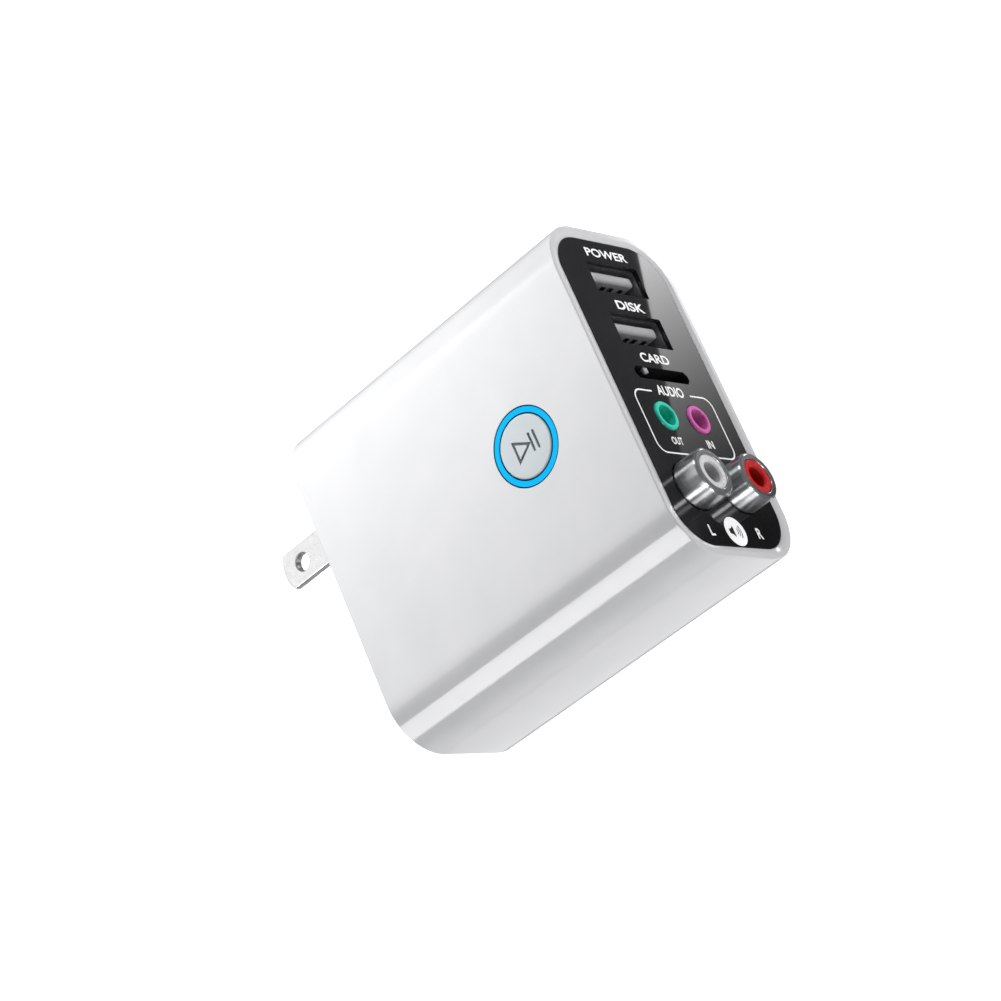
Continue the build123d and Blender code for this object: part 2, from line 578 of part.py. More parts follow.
def transformer_core():
    """Two-window core: a frame with a middle leg."""
    half_x = TRANS_HALF - CORE_YOKE
    y0, y1 = TRANS_Y - CORE_HALF_Y, TRANS_Y + CORE_HALF_Y
    z0, z1 = CORE_Z0 + 2.0, CORE_Z1 - 2.0
    core = block(TRANS_X - TRANS_HALF, TRANS_X + TRANS_HALF, y0, y1, CORE_Z0, CORE_Z1)
    core -= block(TRANS_X - half_x, TRANS_X + half_x, y0, y1, z0, z1)
    return core + block(TRANS_X - CORE_LEG_HALF, TRANS_X + CORE_LEG_HALF, y0, y1, z0, z1)


def transformer_coil():
    """Taped winding round the middle leg."""
    half_x = TRANS_HALF - CORE_YOKE - 0.2
    y0, y1 = TRANS_Y - TRANS_HALF, TRANS_Y + TRANS_HALF
    leg_x, leg_y = CORE_LEG_HALF + 0.1, CORE_HALF_Y + 0.1
    z0, z1 = CORE_Z0 + 2.2, CORE_Z1 - 2.2
    coil = block(TRANS_X - half_x, TRANS_X + half_x, y0, y1, z0, z1)
    coil = fillet(coil.edges().filter_by(Axis.Z), 1.8)
    return coil - block(TRANS_X - leg_x, TRANS_X + leg_x, TRANS_Y - leg_y, TRANS_Y + leg_y, z0, z1)


def transformer_bobbin():
    """Base of the bobbin, which stands on the power board."""
    x0, x1 = TRANS_X - TRANS_HALF, TRANS_X + TRANS_HALF
    return block(x0, x1, TRANS_Y - TRANS_HALF, TRANS_Y + TRANS_HALF, POWER_TOP, POWER_TOP + BOBBIN_T)


BULK_X, BULK_R, BULK_Y0, BULK_Y1 = (7.0, 16.2), 4.0, -1.0, 13.0
OUTPUT_X, OUTPUT_Y, OUTPUT_R, OUTPUT_H = (3.0, 10.5), -9.5, 3.15, 9.0


def bulk_capacitors():
    """Two mains-side electrolytics lying along Y, each with a rolled groove near its sealed end."""
    cans = []
    z = POWER_TOP + BULK_R + 0.1
    for x in BULK_X:
        can = rod_y(x, z, BULK_R, BULK_Y0, BULK_Y1)
        can = fillet(edges_at(can, Axis.Y, BULK_Y0), 0.5)
        groove = rod_y(x, z, BULK_R + 0.2, BULK_Y1 - 2.0, BULK_Y1 - 1.5)
        groove -= rod_y(x, z, BULK_R - 0.25, BULK_Y1 - 2.0, BULK_Y1 - 1.5)
        cans.append(can - groove)
    return Compound(cans)


def output_capacitors():
    """Two low-voltage electrolytics standing on the power board."""
    cans = []
    top = POWER_TOP + OUTPUT_H
    for x in OUTPUT_X:
        can = rod_z(x, OUTPUT_Y, OUTPUT_R, POWER_TOP, top)
        cans.append(fillet(edges_at(can, Axis.Z, top), 0.4))
    return Compound(cans)


def fuse():
    radius = 1.8
    return rod_x(16.3, POWER_TOP + radius + 0.1, radius, -6.0, 4.0)


def bridge_rectifier():
    return block(-14.0, -9.0, 13.0, 18.0, POWER_TOP, POWER_TOP + 2.5)


def safety_capacitor():
    """Disc capacitor standing beside the transformer."""
    radius = 3.0
    disc = rod_x(9.3, POWER_TOP + radius + 0.3, radius, -20.5, -17.6)
    return fillet(disc.edges(), 0.8)


def choke():
    """Small drum choke: a core between two flanges."""
    x, y, flange_t, height = -22.0, 15.0, 0.8, 6.4
    drum = rod_z(x, y, 1.0, POWER_TOP, POWER_TOP + height)
    for z in (POWER_TOP, POWER_TOP + height - flange_t):
        drum += rod_z(x, y, 2.4, z, z + flange_t)
    return drum


def power_controller():
    """Switching controller on the underside of the power board."""
    return block(-3.0, 2.0, -2.0, 2.0, POWER_Z0 - 1.5, POWER_Z0)


RADIO_X0, RADIO_X1, RADIO_Y0, RADIO_Y1, RADIO_T = -24.0, -11.0, 0.0, 18.0, 0.8
SHIELD_EDGE, SHIELD_L, SHIELD_H, SHIELD_SHEET = 0.8, 11.6, 1.7, 0.2


def radio_board():
    return block(RADIO_X0, RADIO_X1, RADIO_Y0, RADIO_Y1, MAIN_TOP, MAIN_TOP + RADIO_T)


def radio_shield():
    """Steel lid over the radio chip."""
    z0 = MAIN_TOP + RADIO_T
    x0, x1 = RADIO_X0 + SHIELD_EDGE, RADIO_X1 - SHIELD_EDGE
    y0, y1 = RADIO_Y0 + SHIELD_EDGE, RADIO_Y0 + SHIELD_EDGE + SHIELD_L
    lid = block(x0, x1, y0, y1, z0, z0 + SHIELD_H)
    lid = fillet(lid.edges().filter_by(Axis.Z), 0.6)
    t = SHIELD_SHEET
    return lid - block(x0 + t, x1 - t, y0 + t, y1 - t, z0, z0 + SHIELD_H - t)


def audio_chip():
    return block(10.0, 17.0, -2.0, 5.0, MAIN_TOP, MAIN_TOP + 1.1)


def memory_chip():
    return block(10.0, 15.0, 9.0, 13.0, MAIN_TOP, MAIN_TOP + 1.5)


def crystal():
    can = block(-4.0, 3.0, 6.0, 9.0, MAIN_TOP, MAIN_TOP + 2.2)
    return fillet(can.edges().filter_by(Axis.Z), 1.4)


def contactless_antenna():
    """Flexible pairing coil stuck under the top wall."""
    x, y, half_x, half_y, track = -15.0, -14.75, 6.0, 10.25, 2.6
    z1 = THICK_Z - WALL - FIT
    z0 = z1 - 0.2
    film = block(x - half_x, x + half_x, y - half_y, y + half_y, z0, z1)
    half_x -= track
    half_y -= track
    return film - block(x - half_x, x + half_x, y - half_y, y + half_y, z0, z1)


# ---- write every node ---------------------------------------------------------------------------
def nodes():
    parts = {
        "shell_sleeve": shell_sleeve(), "io_lens": io_lens(), "io_frame": io_frame(),
        "rear_cover": rear_cover(),
        "plug_rotor": plug_rotor(), "plug_bracket": plug_bracket(),
        "blade_line": blade(BLADE_Z[0]), "blade_neutral": blade(BLADE_Z[1]),
        "blade_contact_line": blade_contact(BLADE_Z[0], CONTACT_LEG_X[0]),
        "blade_contact_neutral": blade_contact(BLADE_Z[1], CONTACT_LEG_X[1]),
        "detent_spring": detent_spring(), "bracket_screws": bracket_screws(),
        "frame_screws": frame_screws(),
        "card_board": card_board(), "card_socket_base": card_socket_base(),
        "card_socket_shield": card_socket_shield(), "card_socket_contacts": card_socket_contacts(),
        "phono_housing": phono_housing(),
        "light_ring": light_ring(), "button_cap": button_cap(),
        "switch_body": switch_body(), "switch_plunger": switch_plunger(), "ring_leds": ring_leds(),
        "io_board": io_board(), "main_board": main_board(), "power_board": power_board(),
        "board_header": board_header(), "power_header": power_header(),
        "transformer_core": transformer_core(), "transformer_coil": transformer_coil(),
        "transformer_bobbin": transformer_bobbin(),
        "bulk_capacitors": bulk_capacitors(), "output_capacitors": output_capacitors(),
        "fuse": fuse(), "bridge_rectifier": bridge_rectifier(),
        "safety_capacitor": safety_capacitor(), "choke": choke(),
        "power_controller": power_controller(),
        "radio_board": radio_board(), "radio_shield": radio_shield(),
        "audio_chip": audio_chip(), "memory_chip": memory_chip(), "crystal": crystal(),
        "contactless_antenna": contactless_antenna(),
    }
    for name, x in (("charge", CHARGE_PORT_X), ("disk", DISK_PORT_X)):
        parts[f"{name}_port_shell"] = port_shell(x)
        parts[f"{name}_port_insulator"] = port_insulator(x)
        parts[f"{name}_port_contacts"] = port_contacts(x)
    for name, side in (("out", 1), ("in", -1)):
        parts[f"{name}_jack_housing"] = jack_housing(side)
        parts[f"{name}_jack_contact"] = jack_contact(side)
    for name, side in (("left", 1), ("right", -1)):
        parts[f"{name}_phono_barrel"] = phono_barrel(side)
        parts[f"{name}_phono_insulator"] = phono_insulator(side)
        parts[f"{name}_phono_contact"] = phono_contact(side)
    return parts


os.makedirs("parts", exist_ok=True)
for node_name, shape in nodes().items():
    export_step(shape, f"parts/{node_name}.step")
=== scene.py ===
# %% [markdown]
# # A plug-in wireless audio receiver
# The receiver is a white rounded sleeve. One end holds a glossy black socket panel and the other end holds the
# mains blades. It lies on its plain side, with the button upwards. The imported model gives every piece its place,
# so the first step loads it and keeps its overall box.

# %% Load the imported model
import json
from math import cos, pi, radians, sin, tan

import bmesh
import bpy
from mathutils import Matrix, Vector


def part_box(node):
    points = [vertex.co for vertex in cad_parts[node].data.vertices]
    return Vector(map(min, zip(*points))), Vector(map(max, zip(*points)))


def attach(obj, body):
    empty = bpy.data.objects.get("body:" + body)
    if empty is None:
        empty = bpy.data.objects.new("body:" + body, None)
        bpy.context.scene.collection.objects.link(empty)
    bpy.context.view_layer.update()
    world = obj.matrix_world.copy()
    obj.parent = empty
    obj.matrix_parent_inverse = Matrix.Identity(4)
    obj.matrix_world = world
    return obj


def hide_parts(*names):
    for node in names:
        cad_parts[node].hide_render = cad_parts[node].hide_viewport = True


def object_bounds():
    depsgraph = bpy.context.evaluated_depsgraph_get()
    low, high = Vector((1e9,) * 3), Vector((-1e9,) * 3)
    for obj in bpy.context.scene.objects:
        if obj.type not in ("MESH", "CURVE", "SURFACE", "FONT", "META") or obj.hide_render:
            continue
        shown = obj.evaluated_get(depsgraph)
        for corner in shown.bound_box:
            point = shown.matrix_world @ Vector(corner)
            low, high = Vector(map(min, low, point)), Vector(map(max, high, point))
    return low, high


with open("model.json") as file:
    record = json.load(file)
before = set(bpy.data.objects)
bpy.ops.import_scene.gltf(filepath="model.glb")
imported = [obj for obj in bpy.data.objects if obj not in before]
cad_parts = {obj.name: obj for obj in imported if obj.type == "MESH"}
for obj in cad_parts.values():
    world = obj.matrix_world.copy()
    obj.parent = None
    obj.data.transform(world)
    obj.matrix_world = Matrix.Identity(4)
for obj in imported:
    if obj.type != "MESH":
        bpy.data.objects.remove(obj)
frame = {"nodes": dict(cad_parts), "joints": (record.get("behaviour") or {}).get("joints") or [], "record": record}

cad_low, cad_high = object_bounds()
MM = 0.001
print("nodes:", len(frame["nodes"]), "box:", cad_low[:], cad_high[:])

# %% [markdown]
# ## Sizes taken from the frame
# Nothing here is measured twice. The sleeve's own box gives the ends, the top and the middle line, and each
# socket's node gives its centre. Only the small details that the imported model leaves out, such as the width
# of a printed line, get a value of their own further down.

# %% Read the main sizes
def centre(node):
    low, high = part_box(node)
    return (low + high) / 2


sleeve_low, sleeve_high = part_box("shell_sleeve")
LENGTH, DEPTH, THICK = sleeve_high - sleeve_low
FRONT, REAR, TOP = sleeve_low.y, sleeve_high.y, sleeve_high.z
MID_Z = (sleeve_low.z + sleeve_high.z) / 2
CORNER = 9.1 * MM
WALL = 2.0 * MM
lens_low, lens_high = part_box("io_lens")
print("sleeve:", LENGTH, DEPTH, THICK)

# %% [markdown]
# ## Two working spaces
# Most small pieces face out of the socket panel. They are easier to build flat, with X along the panel, Y up
# the panel's short side and Z out of it, and then to turn into place. The button is round about the upright
# axis, so it only needs a shift. A finished mesh always has its place baked in, and its object stays at the
# origin.

# %% Placing matrices
PANEL = Matrix.Translation((0, 0, MID_Z)) @ Matrix.Rotation(radians(90), 4, "X")
BUTTON = Matrix.Translation((centre("button_cap").x, centre("button_cap").y, 0))


def on_panel(node):
    """Centre of a node in panel space, at height 0."""
    middle = centre(node)
    return Vector((middle.x, middle.z - MID_Z, 0))


def out_of(y):
    """Panel-space height of a place along the row's Y axis."""
    return -y


# %% [markdown]
# ## Finishing a piece
# Every new mesh goes through the same last steps. Its faces are turned outwards. Faces that lie level with a
# neighbour belong to a flat, and stay flat. All others are parts of a curve and are shaded smooth, with the real
# corners kept sharp by their angle. A weighted-normal modifier then stops a lone large face from picking up a
# false shade next to a rounded edge. The piece is tied to the body it moves with, and the imported nodes it stands
# for are hidden. The count of open edges is printed, because a solid should have none.

# %% Helper: finish a piece
SHARP, LEVEL = radians(38), radians(0.3)


def finish_piece(bm, name, materials, body="root", replaces=(), place=None):
    if place is not None:
        bmesh.ops.transform(bm, matrix=place, verts=bm.verts)
    bmesh.ops.recalc_face_normals(bm, faces=bm.faces)
    for edge in bm.edges:
        edge.smooth = not edge.is_manifold or edge.calc_face_angle() < SHARP
    for face in bm.faces:
        face.smooth = not any(e.is_manifold and e.calc_face_angle() < LEVEL for e in face.edges)
    open_edges = sum(1 for edge in bm.edges if not edge.is_manifold)
    mesh = bpy.data.meshes.new(name)
    bm.to_mesh(mesh)
    bm.free()
    for material in materials:
        mesh.materials.append(material)
    piece = bpy.data.objects.new(name, mesh)
    bpy.context.scene.collection.objects.link(piece)
    weighted = piece.modifiers.new("weighted", "WEIGHTED_NORMAL")
    weighted.keep_sharp = True
    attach(piece, body)
    if replaces:
        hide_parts(*replaces)
    print(f"{name}: {len(mesh.polygons)} faces, {open_edges} open edges")
    return piece


# %% [markdown]
# ## Flat outlines
# A rounded rectangle starts as one square face. Bevelling its four corner points gives true arcs. Holes in a
# plate are made the way a stamping die thinks of them: several closed loops lie in one plane, and the space
# between them is filled. The filled sheet is then pulled down to give the plate its thickness.

# %% Helpers: outlines and pierced plates
def rounded_face(bm, width, height, radius, centre_at=(0, 0, 0), segments=10):
    known = set(bm.faces)
    made = bmesh.ops.create_grid(bm, x_segments=1, y_segments=1, size=0.5)
    bmesh.ops.scale(bm, vec=(width, height, 1), verts=made["verts"])
    bmesh.ops.translate(bm, vec=centre_at, verts=made["verts"])
    if radius:
        bmesh.ops.bevel(
            bm, geom=made["verts"], offset=radius, offset_type="OFFSET", affect="VERTICES",
            segments=segments, profile=0.5, material=-1,
        )
    return next(face for face in bm.faces if face not in known)


def round_face(bm, radius, centre_at=(0, 0, 0), segments=64):
    made = bmesh.ops.create_circle(bm, cap_ends=True, radius=radius, segments=segments)
    bmesh.ops.translate(bm, vec=centre_at, verts=made["verts"])
    return made["verts"][0].link_faces[0]


def loop_of(bm, face):
    """Take a face away and keep its edges."""
    edges = list(face.edges)
    bmesh.ops.delete(bm, geom=[face], context="FACES_ONLY")
    return edges


def fill_between(bm, loops):
    edges = [edge for loop in loops for edge in loop]
    made = bmesh.ops.triangle_fill(bm, use_beauty=True, use_dissolve=False, edges=edges, normal=(0, 0, 1))
    return [item for item in made["geom"] if isinstance(item, bmesh.types.BMFace)]


def thicken(bm, faces, depth):
    """Pull a flat sheet down along -Z and keep both skins."""
    made = bmesh.ops.extrude_face_region(bm, geom=faces, use_keep_orig=True)
    verts = [item for item in made["geom"] if isinstance(item, bmesh.types.BMVert)]
    bmesh.ops.translate(bm, vec=(0, 0, -depth), verts=verts)


def soften(bm, edges, radius, segments=3):
    bmesh.ops.bevel(
        bm, geom=edges, offset=radius, offset_type="OFFSET", affect="EDGES",
        segments=segments, profile=0.5, material=-1, clamp_overlap=True,
    )


def level_edges(bm, height, least_angle=30):
    """Sharp edges that lie wholly at one height."""
    return [
        edge for edge in bm.edges
        if all(abs(vert.co.z - height) < 1e-6 for vert in edge.verts)
        and len(edge.link_faces) == 2 and edge.calc_face_angle() > radians(least_angle)
    ]


# %% [markdown]
# ## Turned pieces
# Phono barrels, jacks, the light ring and the button are all round. Each is a short outline of radius and
# height that is spun through a full turn about Z. A third number at an outline point is the rounding that
# its edge gets afterwards, so that rims catch a highlight as real turned metal and moulded plastic do. An
# outline that would touch the axis stops a hair short of it, because a point on the axis doesn't spin well.

# %% Helper: spin an outline
AXIS_R = 0.02 * MM


def turned(bm, outline, centre_at=(0, 0, 0), steps=96):
    first = len(bm.verts)
    verts = [bm.verts.new((radius, 0, height)) for radius, height, _ in outline]
    edges = [bm.edges.new(pair) for pair in zip(verts, verts[1:] + verts[:1])]
    bmesh.ops.spin(
        bm, geom=verts + edges, cent=(0, 0, 0), axis=(0, 0, 1), angle=2 * pi,
        steps=steps, use_merge=True, use_duplicate=False,
    )
    bm.verts.ensure_lookup_table()
    own = bm.verts[first:]
    bmesh.ops.remove_doubles(bm, verts=own, dist=1e-7)
    for radius, height, rounding in outline:
        if rounding:
            rim = [
                edge for edge in bm.edges
                if all(
                    abs(vert.co.z - height) < 1e-7 and abs(vert.co.xy.length - radius) < 1e-7
                    for vert in edge.verts
                )
            ]
            soften(bm, rim, rounding, 4)
    bmesh.ops.translate(bm, vec=centre_at, verts=bm.verts)


# %% [markdown]
# ## Building a finish
# A moulded or plated surface is never one flat value. Each finish starts from a shader with its fixed
# numbers, and then noise on the object's own coordinates varies its colour a little, makes its polish uneven
# and gives it a fine relief. The three small helpers below add one of those each.

# %% Helpers: finishes
def finish(name, metallic=0.0, **fixed):
    material = bpy.data.materials.new(name)
    material.use_nodes = True
    shader = material.node_tree.nodes["Principled BSDF"]
    shader.inputs["Metallic"].default_value = metallic
    for socket, value in fixed.items():
        shader.inputs[socket.replace("_", " ")].default_value = value
    return material


def grain(material, size_mm, stretch=(1, 1, 1), detail=4.0):
    """Noise on object coordinates whose features are about size_mm across."""
    nodes, links = material.node_tree.nodes, material.node_tree.links
    coordinates = nodes.new("ShaderNodeTexCoord")
    mapping = nodes.new("ShaderNodeMapping")
    mapping.inputs["Scale"].default_value = stretch
    noise = nodes.new("ShaderNodeTexNoise")
    noise.inputs["Scale"].default_value = 1 / (size_mm * MM)
    noise.inputs["Detail"].default_value = detail
    links.new(coordinates.outputs["Object"], mapping.inputs["Vector"])
    links.new(mapping.outputs["Vector"], noise.inputs["Vector"])
    return noise.outputs["Fac"]


def tint(material, source, dark, light):
    nodes, links = material.node_tree.nodes, material.node_tree.links
    ramp = nodes.new("ShaderNodeValToRGB")
    ramp.color_ramp.elements[0].position = 0.3
    ramp.color_ramp.elements[1].position = 0.7
    ramp.color_ramp.elements[0].color = (*dark, 1)
    ramp.color_ramp.elements[1].color = (*light, 1)
    links.new(source, ramp.inputs["Fac"])
    links.new(ramp.outputs["Color"], nodes["Principled BSDF"].inputs["Base Color"])


def polish(material, source, smooth, rough):
    nodes, links = material.node_tree.nodes, material.node_tree.links
    spread = nodes.new("ShaderNodeMapRange")
    spread.inputs["From Min"].default_value = 0.3
    spread.inputs["From Max"].default_value = 0.7
    spread.inputs["To Min"].default_value = smooth
    spread.inputs["To Max"].default_value = rough
    links.new(source, spread.inputs["Value"])
    links.new(spread.outputs["Result"], nodes["Principled BSDF"].inputs["Roughness"])


def relief(material, source, depth_mm, strength=1.0):
    nodes, links = material.node_tree.nodes, material.node_tree.links
    bump = nodes.new("ShaderNodeBump")
    bump.inputs["Distance"].default_value = depth_mm * MM
    bump.inputs["Strength"].default_value = strength
    links.new(source, bump.inputs["Height"])
    links.new(bump.outputs["Normal"], nodes["Principled BSDF"].inputs["Normal"])


def moulded(name, dark, light, smooth, rough, grain_mm=0.25, depth_mm=0.002, **fixed):
    """A moulded plastic: broad colour drift, a fine spark-eroded grain and an uneven polish."""
    material = finish(name, **fixed)
    tint(material, grain(material, 9.0, detail=2.0), dark, light)
    polish(material, grain(material, 1.6), smooth, rough)
    relief(material, grain(material, grain_mm, detail=2.0), depth_mm)
    return material


def metal(name, dark, light, smooth, rough, stretch=(1, 1, 1), grain_mm=0.4, depth_mm=0.002, **fixed):
    """A metal: rolled or turned lines are noise that is stretched along the working direction."""
    material = finish(name, metallic=1.0, **fixed)
    lines = grain(material, grain_mm, stretch, detail=6.0)
    tint(material, lines, dark, light)
    polish(material, grain(material, 1.2, detail=5.0), smooth, rough)
    if depth_mm:
        relief(material, lines, depth_mm)
    return material


# %% [markdown]
# ## The white sleeve's finish
# The sleeve is white plastic with a thin clear lacquer. The lacquer is what shows the crisp bright stripe
# along the rounded edge, while the plastic under it stays soft. So the two are kept apart: a rougher base
# and a nearly mirror-smooth coat.

# %% White plastic
white_plastic = moulded(
    "white_plastic", (0.80, 0.805, 0.82), (0.84, 0.842, 0.85), 0.34, 0.42,
    grain_mm=0.35, depth_mm=0.0012,
)
white_shader = white_plastic.node_tree.nodes["Principled BSDF"]
white_shader.inputs["Coat Weight"].default_value = 1.0
white_shader.inputs["Coat Roughness"].default_value = 0.1
white_shader.inputs["Coat IOR"].default_value = 1.6
print("made", white_plastic.name)

# %% [markdown]
# ## The panel's finishes
# The panel's face is a polished black lens. Wiping leaves faint hairlines on such a face, so its polish varies a
# little along one direction. The printing on it is matt white ink with a painted glow that makes it brighter than
# the lamps alone do, and the frame behind it is an ordinary matt black moulding.

# %% Black lens, ink and frame
panel_black = finish("panel_black", IOR=1.5)
tint(panel_black, grain(panel_black, 12.0, detail=2.0), (0.012, 0.012, 0.013), (0.018, 0.018, 0.019))
polish(panel_black, grain(panel_black, 0.5, (1, 1, 14), detail=6.0), 0.012, 0.03)
frame_black = moulded("frame_black", (0.008, 0.008, 0.009), (0.018, 0.018, 0.02), 0.45, 0.6)
# Painted light: the white ink also glows (Emission Strength 0.3), so the printing and the disc look brighter than
# the lamps alone make them.
ink_white_painted_glow = moulded("ink_white_painted_glow", (0.80, 0.80, 0.80), (0.90, 0.90, 0.90), 0.5, 0.62, grain_mm=0.12)
ink_white_painted_glow.node_tree.nodes["Principled BSDF"].inputs["Emission Color"].default_value = (1, 1, 1, 1)
ink_white_painted_glow.node_tree.nodes["Principled BSDF"].inputs["Emission Strength"].default_value = 0.3
ink_black = moulded("ink_black", (0.01, 0.01, 0.01), (0.02, 0.02, 0.02), 0.5, 0.62, grain_mm=0.12)
print("made", panel_black.name, ink_white_painted_glow.name)

# %% [markdown]
# ## Metals and coloured plastics
# Audio makers colour their sockets by use: green is the line output, pink is the microphone input, white is
# the left channel and red is the right one. The barrels round the white and red insulators are bright
# plated turnings. The mains blades are satin, with fine lines that run along them.

# %% Socket and blade finishes
phono_chrome = metal(
    "phono_chrome", (0.70, 0.71, 0.73), (0.86, 0.87, 0.89), 0.12, 0.18, (1, 9, 1), 0.6, 0.0001
)
phono_turned = metal(
    "phono_turned", (0.68, 0.69, 0.70), (0.84, 0.85, 0.86), 0.28, 0.33, (0.15, 6, 0.15), 0.6, 0
)
blade_steel = metal("blade_steel", (0.60, 0.60, 0.60), (0.80, 0.80, 0.80), 0.26, 0.38, (9, 1, 9), 0.5, 0.002)
port_steel = metal("port_steel", (0.42, 0.42, 0.43), (0.62, 0.62, 0.63), 0.28, 0.42, (9, 1, 1), 0.5, 0.002)
spring_steel = metal("spring_steel", (0.50, 0.47, 0.40), (0.66, 0.62, 0.54), 0.25, 0.4, (1, 8, 1))
screw_steel = metal("screw_steel", (0.45, 0.45, 0.47), (0.62, 0.62, 0.64), 0.3, 0.45)
contact_gold = metal("contact_gold", (0.72, 0.52, 0.22), (0.88, 0.70, 0.36), 0.2, 0.32, (1, 6, 1))
tongue_grey = metal("tongue_grey", (0.60, 0.60, 0.61), (0.82, 0.82, 0.83), 0.34, 0.46, (1, 1, 9), 0.5)
tongue_grey.node_tree.nodes["Principled BSDF"].inputs["Metallic"].default_value = 0.45
# Painted shade: a near-black metal for the flat ports' contacts, standing in for the dark notches under the
# tongues.
contact_painted_shade = metal("contact_painted_shade", (0.10, 0.10, 0.11), (0.20, 0.20, 0.21), 0.3, 0.45)
jack_green = moulded("jack_green", (0.04, 0.80, 0.58), (0.05, 0.90, 0.66), 0.16, 0.24, grain_mm=0.2)
jack_pink = moulded("jack_pink", (0.86, 0.16, 0.54), (0.95, 0.19, 0.60), 0.16, 0.24, grain_mm=0.2)
insulator_white = moulded("insulator_white", (0.74, 0.74, 0.75), (0.82, 0.82, 0.82), 0.25, 0.34, grain_mm=0.2)
insulator_red = moulded("insulator_red", (0.66, 0.01, 0.012), (0.78, 0.02, 0.022), 0.22, 0.3, grain_mm=0.2)
print("made the socket finishes")

# %% [markdown]
# A turned barrel has very fine grooves round it. They spread a highlight along the barrel but keep it narrow
# around it, so the barrel shows clean bands. Anisotropic shading does just that. The direction of the
# grooves at any point is the cross product of the surface's normal and the barrel's axis.

# %% Give the barrels their turned grooves
turned_nodes, turned_links = phono_turned.node_tree.nodes, phono_turned.node_tree.links
surface = turned_nodes.new("ShaderNodeNewGeometry")
groove = turned_nodes.new("ShaderNodeVectorMath")
groove.operation = "CROSS_PRODUCT"
groove.inputs[1].default_value = (0, 1, 0)
turned_shader = turned_nodes["Principled BSDF"]
turned_shader.inputs["Anisotropic"].default_value = 0.9
turned_shader.inputs["Anisotropic Rotation"].default_value = 0.25
turned_links.new(surface.outputs["Normal"], groove.inputs[0])
turned_links.new(groove.outputs["Vector"], turned_shader.inputs["Tangent"])
print("made", phono_turned.name)

# %% [markdown]
# ## The lit ring and the button
# The ring is a clear blue light guide with lamps under it, so it glows a little as well as taking its colour from
# the plastic. The cap is satin and slightly blue, and the floor of its engraving is dark grey, as painted shade in
# the sign's strokes.

# %% Ring and button finishes
ring_blue = moulded(
    "ring_blue", (0.0, 0.08, 0.20), (0.0, 0.12, 0.26), 0.45, 0.55, grain_mm=0.3,
    Emission_Color=(0.0, 0.50, 1.0, 1), Emission_Strength=0.88, Specular_IOR_Level=0.08,
)
button_grey = moulded("button_grey", (0.66, 0.72, 0.75), (0.72, 0.77, 0.80), 0.32, 0.42, grain_mm=0.15)
# Painted shade: near-black rings stand in for the dark gaps on either side of the lit ring.
gap_shade_black = moulded(
    "gap_shade_black", (0.004, 0.004, 0.004), (0.008, 0.008, 0.008), 0.6, 0.7, Specular_IOR_Level=0.1
)
# Painted shade: dark grey for the floor of the sign's engraving, so its strokes read dark.
engraving_shade = moulded("engraving_shade", (0.09, 0.11, 0.12), (0.14, 0.16, 0.17), 0.5, 0.6, grain_mm=0.12)
print("made the button finishes")

# %% [markdown]
# ## Finishes of the pieces inside
# Nobody sees the boards until the sleeve comes off, but each has its own honest material: green solder
# resist, sintered ferrite, yellow winding tape, sleeved cans, a glass fuse and so on.

# %% Inside finishes
inside = {
    "switch_black": moulded("switch_black", (0.02, 0.02, 0.022), (0.05, 0.05, 0.055), 0.4, 0.55),
    "lamp_white": moulded("lamp_white", (0.80, 0.76, 0.55), (0.90, 0.87, 0.70), 0.3, 0.4),
    "board_green": moulded("board_green", (0.01, 0.12, 0.05), (0.02, 0.20, 0.08), 0.25, 0.4, 0.6, 0.01),
    "ferrite": moulded("ferrite", (0.03, 0.03, 0.033), (0.08, 0.08, 0.085), 0.5, 0.7, 0.3, 0.01),
    "coil_tape": moulded("coil_tape", (0.70, 0.55, 0.06), (0.85, 0.70, 0.14), 0.35, 0.5),
    "bobbin_cream": moulded("bobbin_cream", (0.48, 0.43, 0.33), (0.60, 0.55, 0.44), 0.45, 0.6),
    "can_sleeve": moulded("can_sleeve", (0.03, 0.03, 0.06), (0.08, 0.08, 0.12), 0.25, 0.35),
    "fuse_glass": moulded("fuse_glass", (0.70, 0.74, 0.72), (0.82, 0.85, 0.83), 0.06, 0.12),
    "disc_blue": moulded("disc_blue", (0.05, 0.16, 0.45), (0.10, 0.26, 0.60), 0.35, 0.5, 0.5, 0.01),
    "antenna_film": moulded("antenna_film", (0.50, 0.26, 0.08), (0.66, 0.38, 0.14), 0.3, 0.45),
}
print("inside finishes:", len(inside))

# %% [markdown]
# ## Paint every imported node
# The record says which material slot each node has. Giving each slot its finish in one loop means that no node is
# left plain, and the pieces built below only have to improve shapes. The flat ports' contacts are the one
# exception: they get a near-black metal in place of gold, as painted shade for the dark notches under the tongues.

# %% Assign the finishes
shown_finish = {
    "white_plastic": white_plastic, "panel_black": panel_black, "frame_black": frame_black,
    "blade_steel": blade_steel, "spring_steel": spring_steel, "screw_steel": screw_steel,
    "port_steel": port_steel, "tongue_grey": tongue_grey, "contact_gold": contact_gold,
    "jack_green": jack_green, "jack_pink": jack_pink, "phono_chrome": phono_chrome,
    "insulator_white": insulator_white, "insulator_red": insulator_red,
    "ring_blue": ring_blue, "button_grey": button_grey, **inside,
}
# Painted shade: the flat ports' contacts get the near-black metal instead of gold.
shade_finish = {"charge_port_contacts": contact_painted_shade, "disk_port_contacts": contact_painted_shade}
for part in frame["record"]["subparts"]:
    mesh = frame["nodes"][part["node"]].data
    mesh.materials.clear()
    mesh.materials.append(shade_finish.get(part["node"], shown_finish[part["material_slot"]]))

# %% [markdown]
# ## The sleeve
# The sleeve is one tube with a rounded section. It is drawn from its front lip: an outline, a flat land, a
# small bevel that leads down to the panel, and then the inner wall. The outer wall is pulled back from the
# same outline, and the two walls are joined at the rear. The top face is cut out and filled again round the
# hole for the light ring, and so is the inner wall below it.

